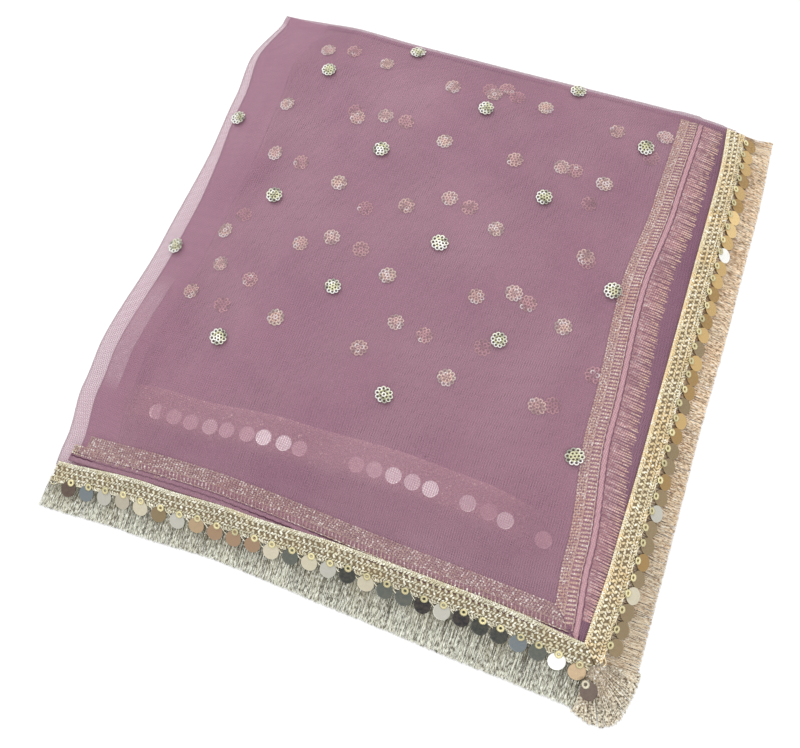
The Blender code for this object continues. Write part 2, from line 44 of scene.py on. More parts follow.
# How the folded stole lies, metres, seen from above. The same lines as the solids stand on.
# Each line is a list of places along one axis and where the line is on the other.
lay = {
    "leftFold": ((-0.255, -0.2265), (-0.200, -0.2330), (-0.150, -0.2420),
                 (-0.110, -0.2455), (-0.010, -0.2380),
                 (0.080, -0.2358), (0.150, -0.2392), (0.195, -0.2435), (0.255, -0.2290)),
    "rightBraid": ((-0.205, 0.1960), (-0.140, 0.1985), (-0.060, 0.2000), (0.070, 0.2005),
                   (0.190, 0.2010), (0.255, 0.1985)),
    "nearBraid": ((-0.245, -0.2165), (-0.140, -0.2070), (-0.070, -0.2030), (0.020, -0.1990),
                  (0.120, -0.1985), (0.215, -0.2035)),
    "secondRight": ((-0.210, 0.1720), (-0.150, 0.1660), (-0.050, 0.1555), (0.070, 0.1500),
                    (0.150, 0.1560), (0.255, 0.1590)),
    "secondNear": ((-0.245, -0.1900), (-0.080, -0.1815), (0.080, -0.1845), (0.215, -0.1855)),
    "rightTips": ((-0.220, 0.2390), (-0.050, 0.2402), (0.080, 0.2430), (0.180, 0.2438), (0.255, 0.2420)),
    "nearTips": ((-0.230, -0.2523), (-0.150, -0.2472), (-0.070, -0.2425), (0.030, -0.2442),
                 (0.135, -0.2460), (0.215, -0.2468)),
    "backFold": ((-0.245, 0.2385), (-0.205, 0.2435), (-0.160, 0.2430), (-0.080, 0.2405),
                 (0.150, 0.2404), (0.245, 0.2385)),
    "stackHeight": 0.0185,
    "inset": 0.050,          # from the left fold to the edge of the full stack
    "floorClear": 0.00145,
    "turnIn": 0.009,         # how far the net reaches under the top braid
    "stackReach": 0.0115,
    "braidWidth": 0.0175,
    "secondBraid": 0.015,
    "secondStrip": 0.0035,
    "secondTips": 0.0375,
    "tipLift": 0.0011,
    "netLift": 0.0006,       # the top net over the room below it
    "secondLift": 0.0008,    # the second net over the stack
    "stackCrease": 0.6,      # share of a crease that reaches the stack
    "edgeSteps": 9,          # steps of leftDrape that turn down before the hem
}
# how the stack falls towards each side: where it starts, over what run, power, share of the height there
fall = {
    "right": (0.2425, 0.080, 2.2, 0.0),
    "near": (-0.2480, 0.100, 2.2, 0.0),
    "left": (lay["inset"], 0.040, 2.0, 0.65),
    "back": (0.000, 0.045, 2.0, 0.75),
}
# drapes: how far out from the full stack, share of the height kept
leftDrape = ((0.0, 1.0), (0.006, 0.92), (0.014, 0.76), (0.022, 0.60), (0.030, 0.43), (0.038, 0.29),
             (0.045, 0.20), (0.0478, 0.155), (0.0487, 0.10), (0.0482, 0.055), (0.0472, 0.03), (0.043, 0.012),
             (0.0385, 0.0), (0.020, 0.0), (0.004, 0.0))
backDrape = ((0.0, 1.0), (0.0047, 0.94), (0.0085, 0.80), (0.0108, 0.58), (0.0117, 0.34),
             (0.0119, 0.12), (0.0110, 0.02))
# soft creases pressed in by hand: x0, y0, x1, y1, half width, height, all in mm
creases = (
    (-205, 150, -60, 236, 9, 0.55), (-175, 20, -120, 232, 11, -0.45), (-196, -150, -168, 60, 8, 0.50),
    (-60, -40, 40, 215, 14, 0.40), (60, -140, 120, 120, 13, -0.45), (-150, -120, 20, -70, 10, 0.45),
    (-40, -170, 130, -150, 9, -0.40), (20, 60, 150, 190, 12, 0.35), (-215, 60, -190, 210, 6, -0.60),
    (-222, -190, -214, -40, 5, 0.70), (90, 200, 190, 234, 8, 0.45), (-110, -165, -20, -20, 12, -0.35),
)


def ease(t):
    t = np.clip(t, 0.0, 1.0)
    return t * t * (3.0 - 2.0 * t)


def clamp(t):
    return min(1.0, max(0.0, t))


def along(name, place):
    spots = np.array([row[0] for row in lay[name]])
    values = np.array([row[1] for row in lay[name]])
    place = np.asarray(place, float)
    k = np.clip(np.searchsorted(spots, place) - 1, 0, len(spots) - 2)
    t = ease((place - spots[k]) / (spots[k + 1] - spots[k]))
    return values[k] + (values[k + 1] - values[k]) * t


def slope(distance, run, power, start):
    t = np.clip(distance / run, 0.0, 1.0)
    return 1.0 - (1.0 - start) * (1.0 - t) ** power


def fullEdge(y):
    return along("leftFold", y) + lay["inset"]


# Top of the hidden layers over the table
def stackTop(x, y):
    right = slope(fall["right"][0] - x, *fall["right"][1:])
    near = slope(y - fall["near"][0], *fall["near"][1:])
    left = slope(x - along("leftFold", y) - fall["left"][0], *fall["left"][1:])
    back = slope(along("backFold", x) - y - fall["back"][0], *fall["back"][1:])
    ripple = 1.0 + 0.025 * np.sin(31.0 * x + 0.8) * np.sin(24.0 * y - 0.5)
    return lay["stackHeight"] * right * near * left * back * ripple


def creaseHeight(x, y):
    total = np.zeros(np.broadcast(x, y).shape)
    for x0, y0, x1, y1, half, tall in creases:
        dx, dy = (x1 - x0) / 1000.0, (y1 - y0) / 1000.0
        length = math.hypot(dx, dy)
        t = ((x - x0 / 1000.0) * dx + (y - y0 / 1000.0) * dy) / length ** 2
        bow = 0.006 * np.sin(math.pi * np.clip(t, 0.0, 1.0) * 1.7 + x0)
        off = ((x - x0 / 1000.0) * dy - (y - y0 / 1000.0) * dx) / length + bow
        fade = ease(t / 0.25) * ease((1.0 - t) / 0.3)
        total = total + tall / 1000.0 * fade * np.exp(-(off * 1000.0 / half) ** 2)
    return total


# Room between the stack and the top layer: the second layer and its border lie in it.
def topLift(x, y):
    second = along("secondRight", y)
    secondRow = along("secondNear", x)
    nearRow = along("nearBraid", x)
    outRow = secondRow - 0.75 * (secondRow - nearRow)
    run = np.maximum(outRow - nearRow, 0.002)
    inside = ease((along("rightBraid", y) - x) / 0.0035) * ease((y - nearRow) / run)
    overRight = ease((x - second + 0.010) / 0.010) * (y > outRow)
    overRight = overRight * (1.0 - ease((x - second - lay["secondBraid"]) / lay["secondStrip"]))
    overNear = ease((secondRow + 0.010 - y) / 0.010) * inside * (x < second + lay["secondBraid"])
    return 0.0006 + 0.0012 * inside + 0.0015 * np.maximum(overRight, overNear) * inside


# Inner face of the top layer anywhere on the table plan.
def topInner(x, y):
    x, y = np.asarray(x, float), np.asarray(y, float)
    edge = fullEdge(y)
    back = along("backFold", x)
    cx, cy = np.maximum(x, edge), np.minimum(y, back)
    z = stackTop(cx, cy) + topLift(cx, cy)
    outs, keeps = zip(*leftDrape[:lay["edgeSteps"]])
    share = np.interp(edge - x, outs, keeps)
    outs, keeps = zip(*backDrape[:6])
    share = share * np.interp(y - back, outs, keeps)
    return lay["floorClear"] + (z - lay["floorClear"]) * share


def netTop(x, y):
    return topInner(x, y) + lay["netLift"] + creaseHeight(x, y)


# Materials
def newMaterial(name):
    material = bpy.data.materials.new(name)
    material.use_nodes = True
    return material, material.node_tree, material.node_tree.nodes["Principled BSDF"]


def addNode(tree, kind, settings=None, **inputs):
    node = tree.nodes.new(kind)
    for key, value in (settings or {}).items():
        setattr(node, key, value)
    for key, value in inputs.items():
        socket = node.inputs[int(key[1:])] if key[1:].isdigit() else node.inputs[key.replace("_", " ")]
        if isinstance(value, bpy.types.NodeSocket):
            tree.links.new(value, socket)
        else:
            socket.default_value = value
    return node


def maths(tree, operation, a, b=0.0):
    return addNode(tree, "ShaderNodeMath", {"operation": operation}, i0=a, i1=b).outputs[0]


def spread(tree, value, low, high, toLow=0.0, toHigh=1.0):
    return addNode(tree, "ShaderNodeMapRange", {"clamp": True}, i0=value, i1=low, i2=high,
                   i3=toLow, i4=toHigh).outputs[0]


def mixColour(tree, share, a, b):
    node = addNode(tree, "ShaderNodeMix", {"data_type": "RGBA"})
    for index, value in ((0, share), (6, a), (7, b)):
        if isinstance(value, bpy.types.NodeSocket):
            tree.links.new(value, node.inputs[index])
        else:
            node.inputs[index].default_value = value
    return node.outputs[2]


# Screen colour 0..255 to a linear colour.
def rgb(r, g, b):
    return tuple(((c / 255.0 + 0.055) / 1.055) ** 2.4 if c > 10 else c / 3294.6 for c in (r, g, b)) + (1.0,)


def objectPlace(tree):
    return addNode(tree, "ShaderNodeTexCoord").outputs["Object"]


def attributeOf(tree, name, output="Fac"):
    return addNode(tree, "ShaderNodeAttribute", {"attribute_name": name}).outputs[output]


def addBump(tree, shader, height, strength, distance):
    bump = addNode(tree, "ShaderNodeBump", Height=height, Strength=strength, Distance=distance)
    tree.links.new(bump.outputs[0], shader.inputs["Normal"])


def objectNoise(tree, scale, detail=2.0, stretch=(1.0, 1.0, 1.0)):
    mapped = addNode(tree, "ShaderNodeMapping", Vector=objectPlace(tree), Scale=stretch).outputs[0]
    return addNode(tree, "ShaderNodeTexNoise", Vector=mapped, Scale=scale, Detail=detail).outputs["Fac"]


netLook = {
    "colour": rgb(165, 119, 139),
    "light": rgb(182, 144, 155),
    "dark": rgb(147, 102, 122),
    "dense": rgb(144, 100, 122),  # where several lie close in the fold
    "alphaHole": 0.20,
    "alphaThread": 0.54,
    "foldAlpha": 0.26,       # added where a fold is seen edge on
    "meshPitch": 0.0017,
}


# Sine waves across two sets of threads, from a place or a cloth's own map
def threadWaves(tree, vector, turn, pitch):
    scale = 2.0 * math.pi / pitch
    mapped = addNode(tree, "ShaderNodeMapping", Vector=vector, Scale=(scale, scale, scale),
                     Rotation=(0.0, 0.0, math.radians(turn))).outputs[0]
    parts = addNode(tree, "ShaderNodeSeparateXYZ", Vector=mapped).outputs
    return maths(tree, "SINE", parts[0]), maths(tree, "SINE", parts[1])


def netMaterial(name, turn, pitch):
    material, tree, shader = newMaterial(name)
    uv = addNode(tree, "ShaderNodeUVMap", {"uv_map": "cloth"}).outputs[0]
    warp, weft = threadWaves(tree, uv, turn, pitch)
    threads = spread(tree, maths(tree, "MAXIMUM", warp, maths(tree, "MULTIPLY", weft, 0.7)), 0.0, 1.0)
    cloud = objectNoise(tree, 14.0, 3.0)
    alpha = spread(tree, threads, 0.0, 1.0, netLook["alphaHole"], netLook["alphaThread"])
    alpha = maths(tree, "ADD", alpha, spread(tree, cloud, 0.3, 0.7, -0.03, 0.03))
    fold = attributeOf(tree, "fold")
    alpha = maths(tree, "ADD", alpha, maths(tree, "MULTIPLY", fold, netLook["foldAlpha"]))
    alpha = maths(tree, "MINIMUM", alpha, 0.96)
    tone = mixColour(tree, spread(tree, cloud, 0.25, 0.75), netLook["dark"], netLook["light"])
    tone = mixColour(tree, 0.55, tone, netLook["colour"])
    tone = mixColour(tree, spread(tree, fold, 0.2, 1.9, 0.0, 0.85), tone, netLook["dense"])
    tree.links.new(tone, shader.inputs["Base Color"])
    tree.links.new(alpha, shader.inputs["Alpha"])
    shader.inputs["Roughness"].default_value = 0.55
    shader.inputs["Sheen Weight"].default_value = 0.15
    return material


coreLook = {
    "left": rgb(156, 113, 133),
    "right": rgb(141, 98, 116),
    "near": rgb(90, 62, 78),      # towards the near border and its right end
    # strip: painted shade, a darker colour between the veiled fringe and the right border
    "strip": rgb(104, 66, 92),    # between the veiled fringe and the right border
    "cloud": rgb(142, 98, 116),
    "deep": rgb(62, 28, 54),      # in the hatch of crossing threads
    "pitch": 0.0022,
}


# Many layers of net seen at once: soft clouds, and a hatch where their threads cross
def coreMaterial():
    material, tree, shader = newMaterial("hiddenLayersNet")
    cloud = objectNoise(tree, 9.0, 4.0)
    place = objectPlace(tree)
    parts = addNode(tree, "ShaderNodeSeparateXYZ", Vector=place).outputs
    toRight = spread(tree, maths(tree, "SUBTRACT", parts[0],
            maths(tree, "MULTIPLY", parts[1], 0.35)), -0.18, 0.16)
    toNear = maths(tree, "MULTIPLY", spread(tree, parts[1], -0.125, -0.180),
                   spread(tree, parts[0], -0.16, 0.13, 0.30, 1.0))
    base = mixColour(tree, toRight, coreLook["left"], coreLook["right"])
    base = mixColour(tree, spread(tree, cloud, 0.35, 0.65, 0.0, 0.5), base, coreLook["cloud"])
    base = mixColour(tree, toNear, base, coreLook["near"])
    # painted shade: the strip between the veiled fringe and the right border is darkened by its place across
    # the table
    base = mixColour(tree, spread(tree, parts[0], 0.178, 0.192, 0.0, 0.8), base, coreLook["strip"])
    warp, weft = threadWaves(tree, place, -4.0, coreLook["pitch"])
    crossing = spread(tree, maths(tree, "ADD", warp, maths(tree, "MULTIPLY", weft, 0.4)), -1.1, 1.1)
    patches = spread(tree, objectNoise(tree, 26.0, 2.0), 0.36, 0.60, 0.42, 1.0)
    hatch = maths(tree, "MULTIPLY", crossing, patches)
    tree.links.new(mixColour(tree, hatch, base, coreLook["deep"]), shader.inputs["Base Color"])
    shader.inputs["Roughness"].default_value = 0.75
    addBump(tree, shader, hatch, 0.2, 0.0003)
    return material


# Metal-wrapped crochet yarn: painted glints as white specks, dark twists and a light that shifts from silver
# to gold
def yarnMaterial(name, light, dark, warm, shine, rough):
    material, tree, shader = newMaterial(name)
    place = objectPlace(tree)
    tint = attributeOf(tree, "tint")
    twist = objectNoise(tree, 1300.0, 2.0)
    glint = addNode(tree, "ShaderNodeTexVoronoi", Vector=place, Scale=900.0)
    cells = addNode(tree, "ShaderNodeSeparateColor", Color=glint.outputs["Color"]).outputs[0]
    paintedGlint = spread(tree, cells, 0.76, 0.92)
    patch = objectNoise(tree, 45.0, 2.0)
    base = mixColour(tree, spread(tree, twist, 0.32, 0.56), dark, light)
    base = mixColour(tree, spread(tree, patch, 0.44, 0.64, 0.0, 0.75), base, warm)
    base = mixColour(tree, spread(tree, tint, 0.0, 1.0, 0.50, 0.0), base, dark)
    # painted highlight: white specks from a Voronoi pattern stand for glints of light on the metal thread
    base = mixColour(tree, paintedGlint, base, rgb(255, 254, 242))
    tree.links.new(base, shader.inputs["Base Color"])
    tree.links.new(spread(tree, twist, 0.3, 0.7, rough - 0.08, rough + 0.14), shader.inputs["Roughness"])
    shader.inputs["Metallic"].default_value = shine
    addBump(tree, shader, twist, 0.7, 0.0004)
    return material


# Fringe thread. Its tint sets how bright it is, and tip how far along it a place is. White specks along it
# are painted highlights
def threadMaterial(name, light, dark, warm, tipColour, shine, stretch, cool=None):
    material, tree, shader = newMaterial(name)
    tint = attributeOf(tree, "tint")
    tip = attributeOf(tree, "tip")
    fine = objectNoise(tree, 900.0, 2.0, stretch)
    patch = objectNoise(tree, 40.0, 2.0)
    base = mixColour(tree, tint, dark, light)
    base = mixColour(tree, spread(tree, patch, 0.42, 0.62, 0.0, 0.40), base, warm)
    base = mixColour(tree, spread(tree, tip, 0.10, 0.55, 0.30, 0.0), base, dark)
    base = mixColour(tree, spread(tree, fine, 0.47, 0.35, 0.0, 0.80), base, dark)
    atTip = maths(tree, "MULTIPLY", spread(tree, tip, 0.45, 0.85), spread(tree, fine, 0.42, 0.58))
    base = mixColour(tree, atTip, base, tipColour)
    # painted highlight: the brightest fine specks turn white as glints of light on the metal threads
    base = mixColour(tree, spread(tree, fine, 0.58, 0.68, 0.0, 0.70), base, rgb(255, 255, 248))
    if cool:
        place = objectPlace(tree)
        upTable = addNode(tree, "ShaderNodeSeparateXYZ", Vector=place).outputs[1]
        nearer = spread(tree, upTable, cool[1], cool[2])
        share = maths(tree, "MULTIPLY", nearer, spread(tree, fine, 0.35, 0.60, 0.15, 0.6))
        base = mixColour(tree, share, base, cool[0])
    tree.links.new(base, shader.inputs["Base Color"])
    shader.inputs["Metallic"].default_value = shine
    shader.inputs["Roughness"].default_value = 0.34
    return material


# Discs and sequins that take their colour from the paint attribute, which holds painted reflections on the
# mirror discs and painted glints and painted shade among the flower sequins' tones.
def paintedLightAndToneMetal(name, shine, rough):
    material, tree, shader = newMaterial(name)
    paint = attributeOf(tree, "paint", "Color")
    scuff = objectNoise(tree, 420.0, 2.0)
    base = mixColour(tree, spread(tree, scuff, 0.3, 0.7, 0.0, 0.16), paint, rgb(150, 136, 116))
    tree.links.new(base, shader.inputs["Base Color"])
    tree.links.new(spread(tree, scuff, 0.3, 0.7, rough, rough + 0.12), shader.inputs["Roughness"])
    shader.inputs["Metallic"].default_value = shine
    return material


def plainMaterial(name, colour, rough=0.7):
    material, tree, shader = newMaterial(name)
    fine = objectNoise(tree, 700.0, 2.0)
    dark = tuple(c * 0.7 for c in colour[:3]) + (1.0,)
    tree.links.new(mixColour(tree, spread(tree, fine, 0.3, 0.7), dark, colour), shader.inputs["Base Color"])
    shader.inputs["Roughness"].default_value = rough
    return material


# Helpers for pieces
def finishPiece(bm, name, material, nodes=()):
    mesh = bpy.data.meshes.new(name)
    bm.to_mesh(mesh)
    bm.free()
    return finishMesh(mesh, name, material, nodes)


def finishMesh(mesh, name, material, nodes=()):
    mesh.materials.clear()
    mesh.materials.append(material)
    mesh.shade_smooth()
    piece = bpy.data.objects.new(name, mesh)
    scene.collection.objects.link(piece)
    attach(piece, "root")
    if nodes:
        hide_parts(*nodes)
    print(name, len(mesh.polygons), "faces")
    return piece


def newShape():
    bm = bmesh.new()
    bm.verts.layers.float.new("tint")
    return bm


# Puts one more copy of a small shape into a piece.
def addCopy(bm, shape, matrix, tint=1.0, paint=None):
    start = len(bm.verts)
    bm.from_mesh(shape)
    bm.verts.ensure_lookup_table()
    layer = bm.verts.layers.float["tint"]
    colourLayer = bm.verts.layers.float_color.get("paint")
    for vert in bm.verts[start:]:
        vert.co = matrix @ vert.co
        vert[layer] = tint
        if paint:
            vert[colourLayer] = paint


def shapeMesh(bm, name):
    mesh = bpy.data.meshes.new(name)
    bmesh.ops.recalc_face_normals(bm, faces=bm.faces)
    bm.to_mesh(mesh)
    bm.free()
    return mesh


# Frame with its x along first and its z near up.
def axes(origin, first, up):
    x = first.normalized()
    y = up.cross(x).normalized()
    z = x.cross(y)
    return Matrix(((x.x, y.x, z.x, origin.x), (x.y, y.y, z.y, origin.y),
                   (x.z, y.z, z.z, origin.z), (0, 0, 0, 1)))


# A grid between four lines on the table plan. Gives its corners' places and their shares.
def planGrid(bm, columns, rows, left, right, near, back):
    bmesh.ops.create_grid(bm, x_segments=columns, y_segments=rows, size=0.5)
    bm.verts.ensure_lookup_table()
    share = np.array([vert.co[:2] for vert in bm.verts]) + 0.5
    x, y = np.zeros(len(share)), np.zeros(len(share))
    for _ in range(7):
        x = left(y) + (right(y) - left(y)) * share[:, 0]
        y = near(x) + (back(x) - near(x)) * share[:, 1]
    return share, x, y


# Moves the grid to its places and unwraps it by lengths along the cloth.
def layCloth(bm, share, places):
    order = np.lexsort((share[:, 0].round(5), share[:, 1].round(5)))
    wide = len(np.unique(share[:, 0].round(5)))
    grid = places[order].reshape(-1, wide, 3)
    acrossStep = np.linalg.norm(np.diff(grid, axis=1), axis=2)
    alongStep = np.linalg.norm(np.diff(grid, axis=0), axis=2)
    u, v = np.zeros(grid.shape[:2]), np.zeros(grid.shape[:2])
    u[:, 1:] = np.cumsum(acrossStep, axis=1)
    u -= u[:, wide // 2:wide // 2 + 1]
    v[1:] = np.cumsum(alongStep, axis=0)
    flat = np.zeros((len(order), 2))
    flat[order, 0], flat[order, 1] = u.ravel(), v.ravel()
    uvLayer = bm.loops.layers.uv.new("cloth")
    for vert, place in zip(bm.verts, places):
        vert.co = place
    for face in bm.faces:
        for loop in face.loops:
            loop[uvLayer].uv = flat[loop.vert.index]
    return u.max() - u.min(), v.max()


# The net layers
def netSheet(name, material, nodes, path, endX, nearY, level, columns, rows, backPath=None,
             dense=None, wider=None):
    bm = bmesh.new()
    foldSteps = len(path) - 1
    backSteps = len(backPath) - 1 if backPath else 0
    bmesh.ops.create_grid(bm, x_segments=columns + foldSteps, y_segments=rows + backSteps, size=0.5)
    bm.verts.ensure_lookup_table()
    share = np.array([vert.co[:2] for vert in bm.verts]) + 0.5
    column = np.rint(share[:, 0] * (columns + foldSteps)).astype(int) - foldSteps
    row = np.rint(share[:, 1] * (rows + backSteps)).astype(int)
    s = np.clip(column, 0, columns) / columns
    t = np.clip(row, 0, rows) / rows
    x, y = np.zeros(len(s)), np.zeros(len(s))
    for _ in range(7):
        x = fullEdge(y) + (endX(y) - fullEdge(y)) * s
        y = nearY(x) + (along("backFold", x) - nearY(x)) * t
    z = level(x, y)
    outs, keeps = np.array(path)[:, 0], np.array(path)[:, 1]
    step = np.clip(-column, 0, foldSteps)
    x = x - outs[step] * (wider(y) if wider else 1.0)
    base = lay["floorClear"]
    z = base + (z - base) * keeps[step]
    if backPath:
        outs, keeps = np.array(backPath)[:, 0], np.array(backPath)[:, 1]
        step = np.clip(row - rows, 0, backSteps)
        y = y + outs[step]
        z = base + (z - base) * keeps[step]
    z = z + creaseHeight(x, y) * ((column >= -8) & (row <= rows))
    places = np.stack([x, y, z], axis=1)
    size = layCloth(bm, share, places)
    foldLayer = bm.verts.layers.float.new("fold")
    reach = max(p[0] for p in path)
    for vert, r, spot in zip(bm.verts, row, x):
        out = float(fullEdge(vert.co.y)) - spot
        atBack = 0.8 if r > rows else 0.0
        vert[foldLayer] = max(atBack, 1.0 - abs(reach - out) / 0.0016) + (dense(vert.co.y) if dense else 0.0)
    bmesh.ops.recalc_face_normals(bm, faces=bm.faces)
    piece = finishPiece(bm, name, material, nodes)
    piece.visible_shadow = False      # net lets the light through to what lies below
    return piece, size


# More points along a path of places and shares, spread evenly along it.
def finer(path, steps):
    path = np.array(path, float)
    lengths = np.r_[0.0, np.cumsum(np.hypot(np.diff(path[:, 0]), np.diff(path[:, 1]) * 0.014))]
    spots = np.linspace(0.0, lengths[-1], steps + 1)
    return list(zip(np.interp(spots, lengths, path[:, 0]), np.interp(spots, lengths, path[:, 1])))


netTopMaterial = netMaterial("topNet", 7.0, netLook["meshPitch"])
netSecondMaterial = netMaterial("secondNet", 2.0, netLook["meshPitch"] * 1.04)
netFoldMaterial = netMaterial("foldNet", -3.0, netLook["meshPitch"] * 0.97)

topNet, topSize = netSheet(
    "topNet", netTopMaterial, ["top_layer"], finer(leftDrape, 34),
    lambda y: along("rightBraid", y) + lay["turnIn"], lambda x: along("nearBraid", x) - lay["turnIn"],
    lambda x, y: topInner(x, y) + lay["netLift"], 150, 170, finer(backDrape, 14))

secondNet, secondSize = netSheet(
    "secondNet", netSecondMaterial, ["second_layer"], ((0.0, 1.0),) * 2,
    lambda y: along("secondRight", y) + lay["secondBraid"], lambda x: along("secondNear", x) - 0.013,
    lambda x, y: stackTop(x, y) + lay["secondLift"], 110, 130)

foldPaths = {
    "foldNetOuter": ((-0.004, 0.96), (0.004, 0.79), (0.010, 0.68), (0.016, 0.565),
                     (0.024, 0.40), (0.030, 0.28),
                     (0.0338, 0.20), (0.0349, 0.155), (0.0345, 0.11), (0.032, 0.085), (0.024, 0.08),
                     (0.012, 0.08), (0.003, 0.08)),
    "foldNetInner": ((-0.004, 0.90), (0.004, 0.72), (0.010, 0.60), (0.0148, 0.50),
                     (0.0172, 0.44), (0.0178, 0.40),
                     (0.0170, 0.36), (0.014, 0.335), (0.008, 0.325), (0.002, 0.32)),
}
# Several layers lie close together in the fold; only here do they part, and it is paler
foldGap = {"from": -0.155, "full": -0.135, "fade": -0.060, "to": -0.030, "layers": 1.8, "left": 0.08}


def foldDensity(y):
    gap = float(ease((y - foldGap["from"]) / (foldGap["full"] - foldGap["from"])))
    gap *= 1.0 - float(ease((y - foldGap["fade"]) / (foldGap["to"] - foldGap["fade"])))
    return foldGap["layers"] * (1.0 - (1.0 - foldGap["left"]) * gap)


# share by which the outer one reaches further out towards the back
def foldWiden(y):
    return 1.0 + 0.18 * ease((y - 0.02) / 0.10) + 0.12 * ease((y - 0.16) / 0.08)


foldBack = ((0.0, 1.0), (0.0040, 0.94), (0.0074, 0.80), (0.0097, 0.58), (0.0106, 0.34), (0.0110, 0.12))
for name, path in foldPaths.items():
    sheet, size = netSheet(
        name, netFoldMaterial, (), finer(path, 24),
        lambda y: fullEdge(y) + 0.006, lambda x: along("nearBraid", x) - lay["turnIn"],
        lambda x, y: stackTop(np.maximum(x, fullEdge(y)), y) - 0.0003, 2, 90,
        finer(foldBack, 10), dense=foldDensity if name == "foldNetOuter" else lambda y: foldGap["layers"],
        wider=foldWiden if name == "foldNetOuter" else None)


# The hidden layers: one rounded form, layered at its sides
stackSide = (
    # share of the height, out at the left, at the back, under the border
    (0.90, 0.0015, 0.0048, 0.0008), (0.78, 0.0020, 0.0080, 0.0010), (0.69, 0.0012, 0.0085, 0.0003),
    (0.62, 0.0022, 0.0100, 0.0012), (0.54, 0.0030, 0.0108, 0.0018), (0.45, 0.0032, 0.0111, 0.0020),
    (0.37, 0.0020, 0.0104, 0.0010), (0.31, 0.0028, 0.0111, 0.0018), (0.22, 0.0036, 0.0114, 0.0025),
    (0.09, 0.0038, 0.0112, 0.0026), (0.00, 0.0030, 0.0098, 0.0020),
)


def makeHiddenLayers():
    bm = bmesh.new()
    share, x, y = planGrid(bm, 120, 130, fullEdge, lambda y: along("rightBraid", y) + lay["stackReach"],
                           lambda x: along("nearBraid", x) - lay["stackReach"],
                           lambda x: along("backFold", x))
    z = stackTop(x, y) + creaseHeight(x, y) * lay["stackCrease"]
    for vert, place in zip(bm.verts, np.stack([x, y, z], axis=1)):
        vert.co = place
    edges = [edge for edge in bm.edges if edge.is_boundary]
    atSides = np.stack([share[:, 0] < 0.001, share[:, 0] > 0.999,
                        share[:, 1] < 0.001, share[:, 1] > 0.999], axis=1)
    home = {vert: (vert.co.copy(), flags) for vert, flags in zip(bm.verts, atSides) if any(flags)}
    for keep, left, back, under in stackSide:
        grown = bmesh.ops.extrude_edge_only(bm, edges=edges)["geom"]
        verts = [g for g in grown if isinstance(g, bmesh.types.BMVert)]
        edges = [g for g in grown if isinstance(g, bmesh.types.BMEdge)]
        old = {tuple(round(c, 7) for c in v.co): k for v, k in home.items()}
        home = {vert: old[tuple(round(c, 7) for c in vert.co)] for vert in verts}
        for vert, (start, (atLeft, atRight, atNear, atBack)) in home.items():
            vert.co.x = start.x + (under if atRight else -left if atLeft else 0.0)
            vert.co.y = start.y + (back if atBack else -under if atNear else 0.0)
            vert.co.z = start.z * keep
    bmesh.ops.contextual_create(bm, geom=edges)
    bmesh.ops.recalc_face_normals(bm, faces=bm.faces)
    return finishPiece(bm, "hiddenLayers", coreMaterial(), ["hidden_layers"])


hiddenLayers = makeHiddenLayers()


# Places along the borders
cornerX = float(along("rightBraid", -0.2031))
cornerY = float(along("nearBraid", cornerX))
leftEnd = float(along("leftFold", -0.222)) + 0.003
backEnd = float(along("backFold", 0.215)) + 0.006


# Point on the border, w out from the top braid's inner edge, at a place along it.
def trimPoint(side, place, w):
    inner = float(along("nearBraid", place)) if side == "near" else float(along("rightBraid", place))
    tips = float(along("nearTips", place)) if side == "near" else float(along("rightTips", place))
    under = min(w, lay["turnIn"])
    if side == "near":
        x, y, px, py = place, inner - w, place, inner - under
    else:
        x, y, px, py = inner + w, place, inner + under, place
    z = float(topInner(px, py))
    if w > lay["turnIn"]:
        t = min(1.0, (w - lay["turnIn"]) / (lay["braidWidth"] - lay["turnIn"]))
        z *= 1.0 - 0.2 * t
    if w > lay["braidWidth"]:
        reach = abs(tips - inner)
        t = min(1.0, (w - lay["braidWidth"]) / (reach - lay["braidWidth"]))
        lower = lay["tipLift"]
        half = z + (lower - z) * 0.62
        z = z + (half - z) * t / 0.5 if t < 0.5 else half + (lower - half) * (t - 0.5) / 0.5
    return Vector((x, y, z))


# Point, way along, way out and way up of the border's face.
def trimFrame(side, place, w):
    step = 0.0012
    point = trimPoint(side, place, w)
    run = trimPoint(side, place + step, w) - trimPoint(side, place - step, w)
    out = trimPoint(side, place, w + step) - trimPoint(side, place, max(0.0, w - step))
    up = run.cross(out)
    up = (up if up.z > 0 else -up).normalized()
    return point, run.normalized(), out.normalized(), up


def placesAlong(side, w, pitch):
    start, end = (leftEnd, cornerX + w) if side == "near" else (cornerY - w, backEnd)
    count = max(1, round((end - start) / pitch))
    return [start + (k + 0.5) * (end - start) / count for k in range(count)]


discLook = {
    "radius": 0.0063,
    "thick": 0.00035,
    "nearPitch": 0.01503,
    "rightPitch": 0.0124,
    "nearOut": 0.0192,
    "rightOut": 0.0218,
    "nearFirst": -0.2086,    # x of the first near disc
    "rightStart": 0.0095,    # from the back end to the first disc
    "nearBow": 0.0068,       # the near ones stand further right mid-way
    "ring": 0.0030,
    "ringHole": 0.0008,
}

# Crochet braid of the top layer
braidLook = {
    "pitch": 0.0023,
    "legLong": 0.0036,
    "legWide": 0.00088,
    "legTall": 0.0010,
    "lean": 40.0,
    "rows": (0.0030, 0.0053, 0.0076, 0.0099, 0.0122, 0.0145),
    "openRows": (1, 3),      # in these every other stitch is left out, which leaves a small hole
    "edgeBead": 0.0016,
    "lift": 0.0012,
    "loopDip": 0.0026,       # how far the edge chain dips to each paillette
}
nearYarn = yarnMaterial("nearBraidYarn", rgb(244, 240, 218), rgb(136, 124, 94),
        rgb(216, 204, 168), 0.25, 0.36)
rightYarn = yarnMaterial("rightBraidYarn", rgb(255, 246, 214), rgb(170, 146, 102),
        rgb(244, 216, 164), 0.25, 0.36)
